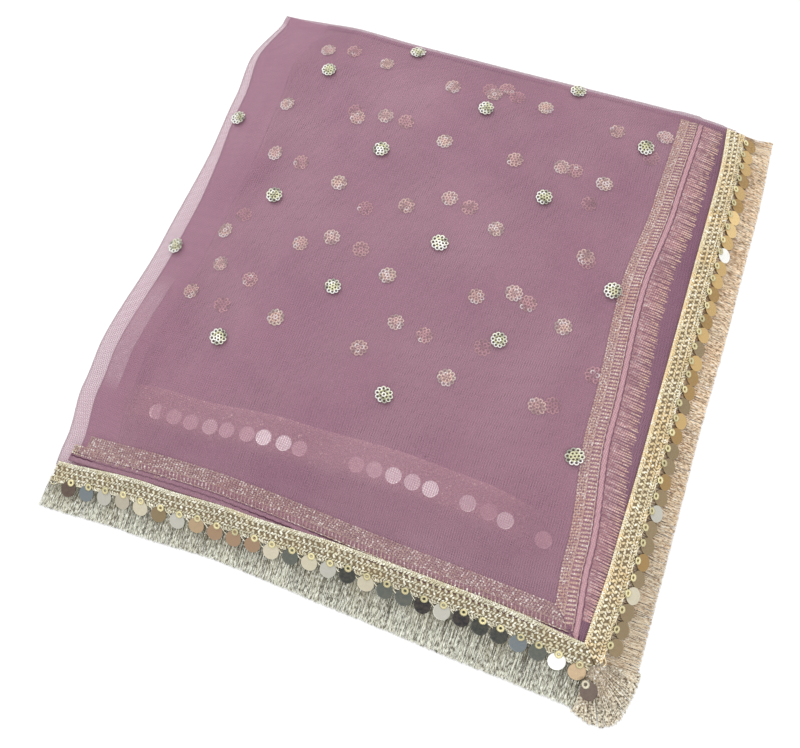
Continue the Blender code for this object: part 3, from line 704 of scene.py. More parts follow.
# painted shade: colour of the dark sheet that shows in the crochet holes
shadowYarn = plainMaterial("braidHoleShade", rgb(132, 114, 86), 0.8)


def legShape():
    bm = bmesh.new()
    bmesh.ops.create_uvsphere(bm, u_segments=6, v_segments=5, radius=1.0)
    bmesh.ops.rotate(bm, verts=bm.verts, matrix=Matrix.Rotation(math.radians(90), 3, "Y"))
    size = (braidLook["legLong"] / 2, braidLook["legWide"], braidLook["legTall"])
    bmesh.ops.scale(bm, verts=bm.verts, vec=size)
    return shapeMesh(bm, "braidLeg")


# Round tubes along lists of points, as one mesh. Each one thins by the taper along its length
def tubesMesh(name, lines, radius, resolution=0, caps=False, taper=0.0):
    curve = bpy.data.curves.new(name, "CURVE")
    curve.dimensions = "3D"
    curve.bevel_depth = radius
    curve.bevel_resolution = resolution
    curve.use_fill_caps = caps
    for points in lines:
        spline = curve.splines.new("POLY")
        spline.points.add(len(points) - 1)
        for k, (spot, point) in enumerate(zip(spline.points, points)):
            spot.co = (*point, 1.0)
            spot.radius = 1.0 - taper * k / (len(points) - 1)
    holder = bpy.data.objects.new(name, curve)
    mesh = bpy.data.meshes.new_from_object(holder)
    bpy.data.objects.remove(holder)
    return mesh


def cordPiece(points, radius, name):
    return tubesMesh(name, [points], radius, resolution=1, caps=True)


def makeTopBraid(side, node):
    leg = legShape()
    bm = newShape()
    for rowIndex, w in enumerate(braidLook["rows"]):
        isOpen = rowIndex in braidLook["openRows"]
        for k, place in enumerate(placesAlong(side, w, braidLook["pitch"])):
            if isOpen and (k + rowIndex // 2) % 2:
                continue
            point, run, out, up = trimFrame(side, place, w + random.uniform(-0.0003, 0.0003))
            turn = math.radians(braidLook["lean"]) * (1 if rowIndex % 2 else -1) + random.uniform(-0.25, 0.25)
            way = run * math.cos(turn) + out * math.sin(turn)
            spot = axes(point + up * (braidLook["lift"] + random.uniform(-0.0002, 0.0002)), way,
                        up + out * random.uniform(-0.3, 0.3))
            fat = 1.35 if isOpen else random.uniform(0.85, 1.1)
            addCopy(bm, leg, spot @ Matrix.Diagonal((random.uniform(0.85, 1.1), fat, 1.0, 1.0)),
                    random.uniform(0.1, 1.0))
    for place in placesAlong(side, 0.0008, braidLook["edgeBead"]):
        point, run, out, up = trimFrame(side, place, 0.0008)
        way = run + out * random.uniform(0.3, 0.7)
        addCopy(bm, leg, axes(point + up * (braidLook["lift"] + 0.0002), way,
                              up) @ Matrix.Diagonal((0.55, 0.9, 0.8, 1.0)), 1.0)
    for w, dip in ((0.0018, 0.0), (0.0156, 0.0), (0.0160, braidLook["loopDip"])):
        pitch = discLook[side + "Pitch"]
        points = []
        for place in placesAlong(side, w, 0.0012):
            phase = (place - (discLook["nearFirst"] if side == "near" else backEnd
                              - discLook["rightStart"])) / pitch
            reach = w + dip * (0.5 + 0.5 * math.cos(2.0 * math.pi * phase)) ** 2
            wave = math.sin(place * 2.0 * math.pi / 0.0024)
            point, run, out, up = trimFrame(side, place, reach)
            points.append(point + up * (braidLook["lift"] + 0.0002 * wave) + out * 0.0003 * wave)
        addCopy(bm, cordPiece(points, 0.00048, "braidCord"), Matrix(), 0.95)
    return finishPiece(bm, node, nearYarn if side == "near" else rightYarn,
                       [node.replace("Braid", "_braid_").lower()])


# Thin band laid on a border. pointAt gives its points from shares along and across it
def bandPiece(name, material, columns, rows, thickness, pointAt):
    bm = bmesh.new()
    bmesh.ops.create_grid(bm, x_segments=columns, y_segments=rows, size=0.5)
    for vert in bm.verts:
        vert.co = pointAt(vert.co.x + 0.5, vert.co.y + 0.5)
    bmesh.ops.recalc_face_normals(bm, faces=bm.faces)
    bmesh.ops.solidify(bm, geom=bm.faces[:], thickness=thickness)
    bmesh.ops.recalc_face_normals(bm, faces=bm.faces)
    return finishPiece(bm, name, material)


# Thin dark sheet of painted shade that shows in the holes of the crochet
def makeBraidHoleShade(side, name):
    def pointAt(share, across):
        w = 0.0002 + across * 0.0162
        start, end = (leftEnd + 0.001, cornerX + w) if side == "near" else (cornerY - w, backEnd - 0.001)
        point, run, out, up = trimFrame(side, start + share * (end - start), w)
        return point + up * 0.0009

    return bandPiece(name, shadowYarn, len(placesAlong(side, 0.009, 0.0045)) - 1, 6, 0.0003, pointAt)


topBraidNear = makeTopBraid("near", "topBraidNear")
topBraidRight = makeTopBraid("right", "topBraidRight")
braidHoleShadeNear = makeBraidHoleShade("near", "braidHoleShadeNear")
braidHoleShadeRight = makeBraidHoleShade("right", "braidHoleShadeRight")
print("braids done")


# Fringe
fringeLook = {
    "pitch": 0.00085,
    "radius": 0.00031,
    "taper": 0.25,
    "drift": 0.0010,
    "lengthSpread": 0.0009,
    "layers": 3,
    "points": 6,
    "clump": 0.0017,         # threads in one clump take the light alike
    "backFlare": 0.0070,     # how far the last threads fan out at the back end
    "root": 0.0135,          # from the braid's inner edge to the threads' roots
    "cornerThreads": 250,
    "cornerReach": 0.0364,
    "cornerTongue": 0.0084,  # how much further they reach in the middle of the fan
    "cornerFat": 1.1,
}
silverThread = threadMaterial("silverThread", rgb(228, 228, 212), rgb(94, 88, 70), rgb(188, 178, 150),
        rgb(226, 226, 210), 0.14, (1.0, 0.35, 0.6))
goldenThread = threadMaterial("goldenThread", rgb(252, 232, 202), rgb(140, 108, 76), rgb(230, 190, 148),
        rgb(246, 222, 190), 0.14, (0.35, 1.0, 0.6),
                              cool=(rgb(196, 188, 168), -0.02, -0.15))
cornerThread = threadMaterial("cornerThread", rgb(234, 224, 202), rgb(86, 72, 54), rgb(194, 168, 134),
        rgb(230, 220, 196), 0.15, (0.7, 0.7, 0.7))


# Strands are each a tint and its points.
def threadsToPiece(name, strands, radius, material, nodes):
    mesh = tubesMesh(name, [points for tint, points in strands], radius, taper=fringeLook["taper"])
    perStrand = len(mesh.vertices) // len(strands)
    tints = np.repeat([tint for tint, points in strands], perStrand).astype(np.float32)
    mesh.attributes.new("tint", "FLOAT", "POINT").data.foreach_set("value", tints)
    steps = len(strands[0][1])
    tips = np.tile(np.repeat(np.linspace(0.0, 1.0, steps), perStrand // steps),
                   len(strands)).astype(np.float32)
    mesh.attributes.new("tip", "FLOAT", "POINT").data.foreach_set("value", tips)
    return finishMesh(mesh, name, material, nodes)


def sideStrands(side):
    strands = []
    start, end = (leftEnd, cornerX + 0.013) if side == "near" else (cornerY - 0.013, backEnd + 0.0015)
    clumps = [random.uniform(0.0, 1.0) for _ in range(int((end - start) / fringeLook["clump"]) + 2)]
    for layer in range(fringeLook["layers"]):
        count = int((end - start) / fringeLook["pitch"])
        for k in range(count):
            steps = k + layer / fringeLook["layers"] + random.uniform(-0.3, 0.3)
            place = start + steps * (end - start) / count
            clump = clumps[max(0, int((place - start) / fringeLook["clump"] + 0.5 * (layer % 2)))]
            drift = fringeLook["drift"] * (clump - 0.5 + random.uniform(-0.6, 0.6))
            reach = abs(float(along(side + "Tips", place)) - float(along(side + "Braid", place)))
            reach -= random.uniform(-0.0005, fringeLook["lengthSpread"])
            if side == "right":
                flare = max(0.0, 1.0 - (end - place) / 0.012)
                drift += fringeLook["backFlare"] * flare ** 2
            lift = 0.0007 - 0.0003 * layer
            points = []
            for m in range(fringeLook["points"]):
                t = m / (fringeLook["points"] - 1)
                w = fringeLook["root"] + (reach - fringeLook["root"]) * t
                point = trimPoint(side, min(place, end), w)
                bend = drift * t * t + 0.00025 * math.sin(9.0 * t + place * 3000.0)
                point[0 if side == "near" else 1] += bend
                point.z = max(0.0004, point.z + lift * (1.0 - 0.8 * t))
                points.append(point)
            # painted light: threads of one clump share a brightness, plus a random tone
            tint = 0.35 + 0.50 * clump + random.uniform(-0.55, 0.45)
            strands.append((clamp(tint), points))
    return strands


# Threads fanned round the corner of the border.
def cornerStrands():
    strands = []
    centre = trimPoint("near", cornerX + lay["turnIn"], lay["turnIn"])
    count = fringeLook["cornerThreads"]
    for k in range(count):
        angle = math.radians(-94.0 + 98.0 * (k + random.uniform(-0.3, 0.3)) / count)
        degrees = math.degrees(angle)
        tongue = fringeLook["cornerTongue"] * math.exp(-((degrees + 58.0) / 24.0) ** 2)
        reach = fringeLook["cornerReach"] + tongue - random.uniform(0.0, 0.0016)
        swing = 0.05 * math.sin(k * 0.55) + random.uniform(-0.03, 0.03)
        points = []
        for m in range(fringeLook["points"]):
            t = m / (fringeLook["points"] - 1)
            r = 0.004 + (reach - 0.004) * t
            a = angle + swing * t
            z = centre.z + 0.0012 + (lay["tipLift"] - centre.z - 0.0012) * (1.0 - (1.0 - t) ** 1.5)
            points.append(Vector((centre.x + r * math.cos(a), centre.y + r * math.sin(a), z)))
        strands.append((clamp(0.5 + 0.35 * math.sin(k * 1.9) + random.uniform(-0.5, 0.5)), points))
    return strands


topFringeNear = threadsToPiece("topFringeNear", sideStrands("near"), fringeLook["radius"], silverThread,
        ["top_fringe_near"])
topFringeRight = threadsToPiece("topFringeRight", sideStrands("right"), fringeLook["radius"],
        goldenThread, ["top_fringe_right"])
topFringeCorner = threadsToPiece("topFringeCorner", cornerStrands(),
        fringeLook["radius"] * fringeLook["cornerFat"], cornerThread, ["top_fringe_corner"])
print("fringe done")


# Paillettes and ring sequins of the top border. Each disc's colour is a painted reflection: what it mirrors
discReflections = {
    "white": rgb(250, 250, 246), "cream": rgb(216, 208, 184), "silver": rgb(196, 194, 184),
    "slate": rgb(92, 98, 92),
    "blueGrey": rgb(116, 126, 132), "charcoal": rgb(56, 60, 58), "black": rgb(40, 38, 42),
    "brown": rgb(92, 76, 68),
    "copper": rgb(168, 138, 110), "tan": rgb(190, 164, 130), "gold": rgb(206, 172, 112),
    "brightGold": rgb(236, 204, 142),
    "bronze": rgb(166, 132, 78), "khaki": rgb(146, 126, 94), "beige": rgb(186, 178, 160),
}
# the near row reads from the left end, the right one from the back end
nearReflections = (
    "brown blueGrey silver beige cream khaki silver tan copper copper copper cream slate cream silver "
    "charcoal cream slate slate black silver black charcoal charcoal blueGrey slate white tan brown").split()
rightReflections = (
    "bronze gold gold bronze gold bronze brightGold brightGold gold white gold gold bronze gold "
    "bronze gold khaki gold bronze bronze khaki gold bronze khaki khaki bronze khaki silver khaki "
    "khaki bronze khaki cream khaki khaki khaki brown").split()


def discShape():
    bm = bmesh.new()
    bmesh.ops.create_circle(bm, cap_ends=True, segments=22, radius=discLook["radius"])
    grown = bmesh.ops.extrude_face_region(bm, geom=bm.faces[:])
    verts = [g for g in grown["geom"] if isinstance(g, bmesh.types.BMVert)]
    bmesh.ops.translate(bm, verts=verts, vec=(0, 0, discLook["thick"]))
    top = [face for face in bm.faces if face.normal.z > 0.9 or all(v in verts for v in face.verts)]
    bmesh.ops.inset_region(bm, faces=top, thickness=discLook["radius"] * 0.10, depth=0.0)
    for face in top:
        for vert in face.verts:
            vert.co.z -= 0.00012
    return shapeMesh(bm, "mirrorDisc")


# A flat sequin with a hole: a small profile spun round.
def ringShape(radius, hole, tall, segments=10):
    bm = bmesh.new()
    profile = [(hole, 0.0), ((hole + radius) * 0.5, tall), (radius, tall * 0.55),
               ((hole + radius) * 0.55, -tall * 0.15)]
    verts = [bm.verts.new((r, 0.0, z)) for r, z in profile]
    edges = [bm.edges.new((verts[k], verts[(k + 1) % 4])) for k in range(4)]
    bmesh.ops.spin(bm, geom=verts + edges, cent=(0, 0, 0), axis=(0, 0, 1), angle=2.0 * math.pi,
                   steps=segments, use_merge=True)
    bmesh.ops.remove_doubles(bm, verts=bm.verts, dist=1e-6)
    return shapeMesh(bm, "ringSequin")


discMaterial = paintedLightAndToneMetal("mirrorDisc", 0.30, 0.22)
sequinMaterial = paintedLightAndToneMetal("ringSequin", 0.30, 0.28)


def newPainted():
    bm = newShape()
    bm.verts.layers.float_color.new("paint")
    return bm


def vary(colour, amount):
    shift = random.uniform(1.0 - amount, 1.0 + amount)
    return tuple(min(1.0, c * shift) for c in colour[:3]) + (1.0,)


disc = discShape()
smallRing = ringShape(discLook["ring"], discLook["ringHole"], 0.0006)
discs, rings = newPainted(), newPainted()
for side, pitch, outward, tints in (("near", discLook["nearPitch"], discLook["nearOut"], nearReflections),
                                    ("right", discLook["rightPitch"], discLook["rightOut"], rightReflections)):
    if side == "near":
        spots = [discLook["nearFirst"] + k * pitch + discLook["nearBow"]
                 * math.sin(math.pi * min(k, 26) / 26.0)
                 for k in range(28)]
    else:
        spots = [backEnd - discLook["rightStart"] - k * pitch for k in range(36)]
    for k, place in enumerate(spots):
        drop = outward + random.uniform(-0.0006, 0.0006)
        point, run, out, up = trimFrame(side, place, drop)
        lean = out * (0.10 + 0.05 * math.sin(k * 2.1)) + run * 0.06 * math.sin(k * 1.3)
        # painted reflection: each disc's colour stands for what it mirrors
        colour = discReflections[tints[k % len(tints)]]
        addCopy(discs, disc, axes(point + up * 0.0019, run, (up + lean).normalized()),
                paint=vary(colour, 0.06))
        point, run, out, up = trimFrame(side, place + random.uniform(-0.0008, 0.0008), drop - 0.0050)
        addCopy(rings, smallRing, axes(point + up * 0.0034, run, up + out * 0.2),
                paint=vary(rgb(226, 216, 168), 0.2))
cornerDisc = Vector((0.2085, -0.2325, 0.0088))
addCopy(discs, disc, axes(cornerDisc, Vector((1, 1, 0)), Vector((0.1, -0.1, 1))), paint=discReflections["brown"])
addCopy(rings, smallRing, axes(cornerDisc + Vector((-0.0035, 0.0035, 0.0012)), Vector((1, 1, 0)),
        Vector((0, 0, 1))), paint=discReflections["cream"])
paillettes = finishPiece(discs, "paillettes", discMaterial)
paillettes.data.shade_flat()
ringSequins = finishPiece(rings, "ringSequins", sequinMaterial)
print("paillettes done")


# Sequin flowers
flowerLook = {
    "ring": 10,
    "ringRadius": 0.0052,
    "sequin": 0.00212,
    "hole": 0.00085,
    "inner": 6,
    "innerRadius": 0.0025,
    # stitch and stitchColour: the dark disc under each hole stands for its thread and for painted shade in
    # the hole
    "stitch": 0.00098,       # the dark stitch seen through each hole
    "stitchColour": rgb(72, 46, 52),
    "shade": 0.50,           # how dark the sequins turned away are
    "shaded": 0.22,          # and their share
}


# A flower of sequins laid like petals, and after them the stitches that hold them
def flowerShape(petal, stitch):
    bm = newShape()
    spots = []
    for k in range(flowerLook["ring"]):
        angle = 2.0 * math.pi * k / flowerLook["ring"]
        radial = Vector((math.cos(angle), math.sin(angle), 0))
        side = Vector((-radial.y, radial.x, 0))
        up = Vector((0, 0, 1)) + side * 0.20 + radial * 0.10
        spots.append(axes(radial * flowerLook["ringRadius"] + Vector((0, 0, 0.0003)), radial, up))
    for k in range(flowerLook["inner"]):
        angle = 2.0 * math.pi * (k + 0.4) / flowerLook["inner"]
        radial = Vector((math.cos(angle), math.sin(angle), 0))
        up = Vector((0, 0, 1)) - radial * 0.18
        spots.append(axes(radial * flowerLook["innerRadius"] + Vector((0, 0, 0.00055)), radial, up))
    spots.append(Matrix.Translation((0, 0, 0.0008)))
    for spot in spots:
        addCopy(bm, petal, spot)
    for spot in spots:
        addCopy(bm, stitch, spot)
    mesh = bpy.data.meshes.new("flower")
    bm.to_mesh(mesh)
    bm.free()
    return mesh


def stitchShape():
    bm = bmesh.new()
    bmesh.ops.create_cone(bm, cap_ends=True, segments=6, radius1=flowerLook["stitch"],
                          radius2=flowerLook["stitch"] * 0.7, depth=0.0003)
    return shapeMesh(bm, "stitch")


petal = ringShape(flowerLook["sequin"], flowerLook["hole"], 0.00045, 8)
stitch = stitchShape()
flower = flowerShape(petal, stitch)

# Flowers stand in a half-drop lattice on every layer, in mm: first column, pitch, places up the
# even columns, places up the odd ones, and how far a column leans for each mm along it
lattices = {
    "topFlowers": (-146.0, 73.4, (194, 57, -80), (240, 124, -13), -0.042),
    "secondFlowers": (-105.0, 73.5, (216, 86, -51), (150, 14), 0.0),
    "thirdFlowers": (-185.0, 75.5, (210, 84, -50), (150, 17), -0.030),
    "fourthFlowers": (-168.0, 79.0, (216, 97, -22), (160, 35), 0.020),
    "fifthFlowers": (-138.0, 75.0, (224, 95, -28), (160, 30), -0.020),
}
# The deepest ones that still show lie scattered, where the layers under have slid a little
deepFlowers = ((-152, -54), (-116, 158), (106, 131), (119, 79), (-8, 217), (17, 217),
               (150, -14), (127, -48), (-72, 68),
               (62, -20), (-170, 30), (144, 190))


def latticePlaces(name, leftLimit, rightLimit, nearLimit, backLimit):
    firstX, pitch, evenRows, oddRows, skew = lattices[name]
    places = []
    for m in range(-2, 6):
        for y in oddRows if m % 2 else evenRows:
            x = firstX + m * pitch + skew * y + 2.5 * math.sin(5.0 * m + 0.31 * y)
            y += 3.0 * math.sin(3.7 * m + 0.19 * y)
            x, y = x / 1000.0, y / 1000.0
            if leftLimit(y) < x < rightLimit(y) and nearLimit < y < backLimit:
                places.append((x, y))
    return places


def makeFlowers(name, height, places, ringPaint, innerPaint, glints, lift):
    bm = newPainted()
    count = flowerLook["ring"] + flowerLook["inner"] + 1
    for k, (x, y) in enumerate(places):
        step = 0.004
        z = float(height(x, y))
        dx = (float(height(x + step, y)) - float(height(x - step, y))) / (2 * step)
        dy = (float(height(x, y + step)) - float(height(x, y - step))) / (2 * step)
        up = Vector((-dx, -dy, 1.0)).normalized()
        turn = Vector((math.cos(k * 1.7), math.sin(k * 1.7), 0))
        spot = axes(Vector((x, y, z)) + up * lift, turn - up * turn.dot(up), up)
        stretch = Matrix.Diagonal((1.0 + 0.06 * math.sin(k * 2.3), 1.0 - 0.05 * math.sin(k * 1.1), 1.0, 1.0))
        start = len(bm.verts)
        addCopy(bm, flower, spot @ stretch, paint=flowerLook["stitchColour"])
        bm.verts.ensure_lookup_table()
        layer = bm.verts.layers.float_color["paint"]
        for m in range(count):
            inRing = m < flowerLook["ring"]
            colour = vary(ringPaint if inRing else innerPaint, 0.16)
            chance = random.random()
            facing = math.cos(k * 1.7 + 2.0 * math.pi * m / flowerLook["ring"] - 4.2
                              - 0.9 * math.sin(k * 2.9))
            if chance < (glints * 2.6 if inRing and facing > 0.3 else 0.0 if inRing else glints):
                colour = rgb(255, 255, 250)
            elif chance > 1.0 - flowerLook["shaded"]:
                colour = tuple(c * flowerLook["shade"] for c in colour[:3]) + (1.0,)
            for vert in bm.verts[start + m * len(petal.vertices):start + (m + 1) * len(petal.vertices)]:
                vert[layer] = colour
        if glints < 0.25:            # hidden ones: their stitches show less dark
            for vert in bm.verts[start + count * len(petal.vertices):]:
                vert[layer] = tuple(a * 0.8 + b * 0.2 for a, b in zip(vert[layer], innerPaint))
    return finishPiece(bm, name, sequinMaterial)


def leftOfTop(y):
    return float(along("leftFold", y)) + 0.012


def leftOfFull(y):
    return float(fullEdge(y)) + 0.004


def coreTop(x, y):
    return stackTop(x, y) + creaseHeight(x, y) * lay["stackCrease"]


def secondTop(x, y):
    return stackTop(x, y) + lay["secondLift"] + creaseHeight(x, y)


def leftOfSecond(y):
    return float(along("secondRight", y)) - 0.006


topFlowers = makeFlowers(
    "topFlowers", netTop, latticePlaces("topFlowers", leftOfTop, lambda y: 0.156, -0.095, 0.246),
    rgb(242, 242, 224), rgb(222, 222, 182), 0.36, 0.0008)
hiddenSets = (
    # name, face that it stands on, near limit, ring, inner ones, glints, lift
    ("secondFlowers", secondTop, -0.090, rgb(255, 244, 222), rgb(250, 222, 196), 0.22, 0.0003),
    ("thirdFlowers", secondTop, -0.075, rgb(238, 214, 198), rgb(224, 192, 178), 0.14, 0.0001),
    ("fourthFlowers", coreTop, -0.080, rgb(255, 236, 222), rgb(244, 214, 200), 0.12, 0.0009),
    ("fifthFlowers", coreTop, -0.080, rgb(228, 190, 184), rgb(208, 164, 164), 0.05, 0.0006),
)
for name, face, nearLimit, ringPaint, innerPaint, glints, lift in hiddenSets:
    places = latticePlaces(name, leftOfFull, leftOfSecond, nearLimit, 0.235)
    makeFlowers(name, face, places, ringPaint, innerPaint, glints, lift)
makeFlowers(
    "deepFlowers", coreTop, [(x / 1000.0, y / 1000.0) for x, y in deepFlowers],
    rgb(206, 160, 164), rgb(184, 138, 148), 0.03, 0.0004)
print("flowers done")


# Border of the second layer, seen through the top one. Widths in mm, out from its inner edge
secondLook = {
    "right": {"glitter": (0.9, 2.6, 4.3, 6.0), "leftRows": (), "rungAt": 10.9, "rungLong": 7.4,
              "seams": (15.3, 19.9), "ground": 15.4, "plain": 19.8},
    "near": {"glitter": (0.9, 2.5, 4.1, 5.7, 7.3, 8.9), "leftRows": (10.5, 12.1, 13.7, 15.3, 16.9),
             "rungAt": 12.3, "rungLong": 5.0, "seams": (15.6, 19.0), "ground": 15.2, "plain": 23.5},
    "glitterPitch": 0.0022,
    "rungPitch": 0.0030,
    "leftRowsTo": -0.155,                # rows that only the near one's left end has stop here
    "leftStart": (-0.2100, -0.2210),     # x where the near one's inner edge and its outer rows start
    "strandPitch": 0.00050,
    "strandStart": 0.0196,
    "strandClump": 0.0021,
}
veiledYarnRight = yarnMaterial("veiledYarnRight", rgb(250, 232, 200), rgb(140, 100, 94),
        rgb(228, 192, 156), 0.15, 0.4)
veiledYarnNear = yarnMaterial("veiledYarnNear", rgb(214, 194, 168), rgb(88, 58, 62),
        rgb(180, 148, 130), 0.15, 0.4)
groundMaterial, groundTree, groundShader = newMaterial("veiledGround")
groundGrain = objectNoise(groundTree, 800.0, 2.0)
groundTwill = threadWaves(groundTree, objectPlace(groundTree), 40.0, 0.0016)[0]
groundBase = mixColour(groundTree, spread(groundTree, groundGrain, 0.36, 0.62),
        rgb(104, 60, 76), rgb(166, 122, 130))
groundBase = mixColour(groundTree, spread(groundTree, groundTwill, -1.0, 1.0, 0.0, 0.35),
        groundBase, rgb(100, 60, 78))
groundTree.links.new(groundBase, groundShader.inputs["Base Color"])
groundShader.inputs["Roughness"].default_value = 0.6
plainBandRight = plainMaterial("plainBandRight", rgb(222, 178, 180), 0.6)
plainBandNear = plainMaterial("plainBandNear", rgb(160, 120, 136), 0.6)
seamThread = plainMaterial("seamThread", rgb(84, 42, 64), 0.85)
secondCornerX = float(along("secondRight", -0.186))
secondCornerY = float(along("secondNear", secondCornerX))


def secondPoint(side, place, w):
    inner = float(along("secondNear", place)) if side == "near" else float(along("secondRight", place))
    x, y = (place, inner - w) if side == "near" else (inner + w, place)
    edge = float(fullEdge(y))
    z = float(stackTop(max(x, edge), y)) + 0.0009
    if x < edge:
        outs, keeps = zip(*leftDrape[:lay["edgeSteps"]])
        z = lay["floorClear"] + (z - lay["floorClear"]) * float(np.interp(edge - x, outs, keeps))
    return Vector((x, y, z))


def secondFrame(side, place, w):
    step = 0.0015
    run = secondPoint(side, place + step, w) - secondPoint(side, place - step, w)
    out = secondPoint(side, place, w + step) - secondPoint(side, place, w - step)
    up = run.cross(out)
    up = (up if up.z > 0 else -up).normalized()
    return secondPoint(side, place, w), run.normalized(), out.normalized(), up


def secondSpan(side, w):
    if side == "right":
        return secondCornerY - w, 0.2400
    return secondLook["leftStart"][0 if w < 0.0100 else 1], secondCornerX + w


def secondPlaces(side, w, pitch):
    start, end = secondSpan(side, w)
    count = round((end - start) / pitch)
    return [start + (k + 0.5) * (end - start) / count for k in range(count)]


def makeSecondBraid(side, node):
    look = secondLook[side]
    leg = legShape()
    bm = newShape()
    for w in look["glitter"] + look["leftRows"]:
        leftOnly = w in look["leftRows"]
        w = w / 1000.0
        for k, place in enumerate(secondPlaces(side, w, secondLook["glitterPitch"])):
            if leftOnly and place > secondLook["leftRowsTo"] + random.uniform(-0.03, 0.03):
                continue
            point, run, out, up = secondFrame(side, place, w)
            lean = math.radians(random.uniform(20.0, 50.0)) * (1 if k % 2 else -1)
            way = run * math.cos(lean) + out * math.sin(lean)
            spot = axes(point + up * 0.0007, way, up + out * random.uniform(-0.4, 0.4))
            addCopy(bm, leg, spot @ Matrix.Diagonal((0.64, 0.95, 0.6, 1.0)), random.uniform(0.1, 1.0))
    wide = 1.15 if side == "right" else 0.8
    rung = Matrix.Diagonal((look["rungLong"] / 1000.0 / braidLook["legLong"], wide, 0.5, 1.0))
    for k, place in enumerate(secondPlaces(side, look["rungAt"] / 1000.0, secondLook["rungPitch"])):
        point, run, out, up = secondFrame(side, place, look["rungAt"] / 1000.0)
        way = out + run * (0.22 + random.uniform(-0.1, 0.1))
        addCopy(bm, leg, axes(point + up * 0.0006, way, up) @ rung, random.uniform(0.35, 0.9))
    for w in (look["glitter"][-1] + 1.0, look["seams"][0] - 0.8):
        points = []
        for place in secondPlaces(side, w / 1000.0, 0.002):
            point, run, out, up = secondFrame(side, place, w / 1000.0)
            points.append(point + up * 0.0006 + out * 0.0003 * math.sin(place * 2.0 * math.pi / 0.0045))
        addCopy(bm, cordPiece(points, 0.00045, "veiledCord"), Matrix(), 0.6)
    return finishPiece(bm, node, veiledYarnNear if side == "near" else veiledYarnRight,
                       [node.replace("Braid", "_braid_").lower()])


# Thin band on the second border: the ground of the veiled crochet, or the plain strip between its two seams
def makeSecondGround(side, name, material, inner, outer, lift):
    def pointAt(share, across):
        w = (inner + across * (outer - inner)) / 1000.0
        start, end = secondSpan(side, w)
        point, run, out, up = secondFrame(side, start + share * (end - start), w)
        return point + up * lift

    return bandPiece(name, material, 90, 5, 0.0002, pointAt)


def makeSeams():
    bm = newShape()
    for side in ("right", "near"):
        for w in secondLook[side]["seams"]:
            points = []
            for place in secondPlaces(side, w / 1000.0, 0.0022):
                point, run, out, up = secondFrame(side, place, w / 1000.0)
                points.append(point + up * 0.0007 + out * 0.00025 * math.sin(place * 900.0))
            addCopy(bm, cordPiece(points, 0.00045, "seam"), Matrix(), 1.0)
    return finishPiece(bm, "seamLines", seamThread)


def secondStrands():
    strands = []
    start, end = secondCornerY - 0.004, 0.2400
    count = int((end - start) / secondLook["strandPitch"])
    clumps = [(random.uniform(-0.0005, 0.0005), random.random())
              for _ in range(int((end - start) / secondLook["strandClump"]) + 2)]
    for k in range(count):
        place = start + (k + random.uniform(-0.3, 0.3)) * (end - start) / count
        index = max(0, int((place - start) / secondLook["strandClump"]))
        shift, bright = clumps[index]
        middle = start + (index + 0.5) * secondLook["strandClump"]
        drift = 0.75 * (middle - place) + shift - 0.0012
        reach = lay["secondTips"] + 0.0030 * (bright - 0.5) - random.uniform(0.0, 0.0012)
        reach = min(reach, float(along("rightBraid", place)) + 0.004 - float(along("secondRight", place)))
        points = []
        for m in range(5):
            t = m / 4.0
            w = secondLook["strandStart"] + (reach - secondLook["strandStart"]) * t
            point = secondPoint("right", place + drift * t, w)
            point.z += 0.0004 * (1.0 - t) + 0.0002 * math.sin(k * 0.9)
            points.append(point)
        # painted light: threads of one clump share a brightness, plus a random tone
        strands.append((clamp(0.25 + 0.6 * bright + random.uniform(-0.4, 0.4)), points))
    return strands


secondBraidRight = makeSecondBraid("right", "secondBraidRight")
secondBraidNear = makeSecondBraid("near", "secondBraidNear")
for side, name in (("right", "Right"), ("near", "Near")):
    look = secondLook[side]
    makeSecondGround(side, "secondGround" + name, groundMaterial, 0.0,
            look["ground"], 0.0002)
    makeSecondGround(side, "secondPlain" + name,
            plainBandRight if side == "right" else plainBandNear,
                                          look["ground"], look["plain"], 0.0003)
seamLines = makeSeams()
veiledThread = threadMaterial("veiledThread", rgb(255, 222, 212), rgb(132, 84, 92), rgb(236, 184, 172),
        rgb(255, 226, 178), 0.1, (0.35, 1.0, 0.6))
secondFringe = threadsToPiece("secondFringeRight", secondStrands(), 0.00030, veiledThread,
        ["second_fringe_right"])
print("second border done")


# Border of the third layer, faint on the stack below two layers of net
thirdLook = {
    "line": ((-0.225, -0.1410), (-0.144, -0.1345), (-0.056, -0.1250), (0.038, -0.1200),
             (0.094, -0.1210), (0.152, -0.1275)),
    "wide": 0.034,
    "firstDisc": -0.1630,
    "discPitch": 0.0149,
    "discOut": 0.0190,
    # painted reflection: how brightly each disc mirrors light through the net, from the left; discs under
    # 0.05 are left out
    "mirroredLight": (0.18, 0.12, 0.14, 0.26, 0.18, 0.16, 0.95, 0.75, 0.14, 0.0, 0.0, 0.08, 0.22, 0.80, 0.60, 1.0,
    0.0, 0.45, 0.06, 0.55, 0.0, 0.08),
}
lay["thirdNear"] = thirdLook["line"]
thirdMaterial, thirdTree, thirdShader = newMaterial("thirdBand")
thirdGrain = objectNoise(thirdTree, 700.0, 2.0)
thirdGlints = objectNoise(thirdTree, 420.0, 2.0)
thirdShow = attributeOf(thirdTree, "show")
thirdBase = mixColour(thirdTree, spread(thirdTree, thirdGrain, 0.35, 0.65),
                      rgb(142, 96, 112), rgb(192, 152, 152))
# painted highlights: light flecks stand for glints on the border's glitter
thirdBase = mixColour(thirdTree, spread(thirdTree, thirdGlints, 0.62, 0.72, 0.0, 0.9),
                      thirdBase, rgb(244, 216, 208))
thirdTree.links.new(thirdBase, thirdShader.inputs["Base Color"])
thirdTree.links.new(thirdShow, thirdShader.inputs["Alpha"])
thirdShader.inputs["Roughness"].default_value = 0.5


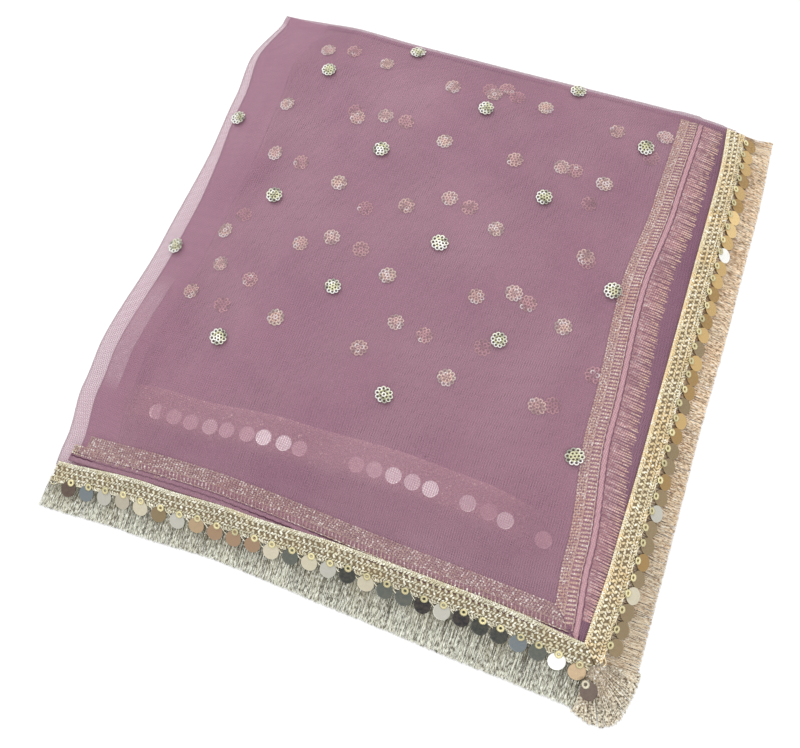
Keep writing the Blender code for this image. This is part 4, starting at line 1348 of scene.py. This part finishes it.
# Its braid fades into the layers at both ends, and its fringe towards the near edge
def makeThirdBand():
    bm = bmesh.new()
    share, x, y = planGrid(bm, 120, 16, lambda y: fullEdge(y) - 0.010, lambda y: y * 0.0 + 0.158,
                           lambda x: along("thirdNear", x) - thirdLook["wide"],
                           lambda x: along("thirdNear", x))
    edge = fullEdge(y)
    outs, keeps = zip(*leftDrape[:lay["edgeSteps"]])
    z = coreTop(np.maximum(x, edge), y) * np.interp(edge - x, outs, keeps) + 0.00015
    show = bm.verts.layers.float.new("show")
    across = 1.0 - share[:, 1]
    ends = ease(share[:, 0] / 0.06) * ease((1.0 - share[:, 0]) / 0.14)
    strength = 0.68 * (1.0 - ease((across - 0.62) / 0.38)) * ends
    strength *= 1.0 + 0.4 * np.exp(-(across / 0.08) ** 2)      # its inner edge shows as a line
    for vert, place, value in zip(bm.verts, np.stack([x, y, z], axis=1), strength):
        vert.co = place
        vert[show] = value
    bmesh.ops.recalc_face_normals(bm, faces=bm.faces)
    return finishPiece(bm, "thirdBand", thirdMaterial)


makeThirdBand()
thirdDiscs = newPainted()
for k, mirroredLight in enumerate(thirdLook["mirroredLight"]):
    x = thirdLook["firstDisc"] + thirdLook["discPitch"] * k + 0.0008 * math.sin(2.9 * k)
    y = float(along("thirdNear", x)) - thirdLook["discOut"]
    # painted reflection: each disc goes from the veiled colour towards white by how much light it mirrors
    paint = tuple(a + (b - a) * mirroredLight for a, b in zip(rgb(176, 132, 142), rgb(255, 250, 250)))
    if mirroredLight > 0.05:
        addCopy(thirdDiscs, disc, Matrix.Translation((x, y, float(coreTop(x, y)) + 0.0001)), paint=paint)
thirdPaillettes = finishPiece(thirdDiscs, "thirdPaillettes", discMaterial)
thirdPaillettes.data.shade_flat()
print("third border done")


# Floor, light and camera
def makeStudio():
    bm = bmesh.new()
    bmesh.ops.create_grid(bm, x_segments=1, y_segments=1, size=4.0)
    mesh = bpy.data.meshes.new("floor")
    bm.to_mesh(mesh)
    bm.free()
    material, tree, shader = newMaterial("floorPaper")
    shader.inputs["Base Color"].default_value = (0.93, 0.93, 0.93, 1.0)
    shader.inputs["Roughness"].default_value = 0.9
    shader.inputs["Specular IOR Level"].default_value = 0.1
    mesh.materials.append(material)
    floor = bpy.data.objects.new("floor", mesh)
    scene.collection.objects.link(floor)
    for name, place, size, power in (("keyLight", (-0.55, 0.75, 1.55), 1.3, 16.0),
                                     ("fillLight", (1.0, -0.9, 1.3), 1.6, 9.0)):
        lamp = bpy.data.lights.new(name, "AREA")
        lamp.energy = power
        lamp.size = size
        holder = bpy.data.objects.new(name, lamp)
        holder.location = place
        holder.rotation_mode = "QUATERNION"
        holder.rotation_quaternion = Vector(place).to_track_quat("Z", "Y")
        scene.collection.objects.link(holder)
    world = bpy.data.worlds.new("studio")
    world.use_nodes = True
    world.node_tree.nodes["Background"].inputs[0].default_value = (1.0, 1.0, 1.0, 1.0)
    world.node_tree.nodes["Background"].inputs[1].default_value = 0.75
    scene.world = world
    scene.view_settings.view_transform = "Standard"


def makeCamera():
    data = bpy.data.cameras.new("camera")
    data.lens = 31.5
    data.sensor_width = 36.0
    data.clip_start, data.clip_end = 0.02, 20.0
    camera = bpy.data.objects.new("camera", data)
    right = Vector((0.93702, 0.34482, -0.05565))
    up = Vector((-0.31199, 0.89792, 0.31049))
    back = Vector((0.15704, -0.27357, 0.94895))
    place = Vector((0.0942, -0.2129, 0.5416))
    camera.matrix_world = Matrix(((right.x, up.x, back.x, place.x), (right.y, up.y, back.y, place.y),
                                  (right.z, up.z, back.z, place.z), (0, 0, 0, 1)))
    scene.collection.objects.link(camera)
    scene.camera = camera


makeStudio()
makeCamera()
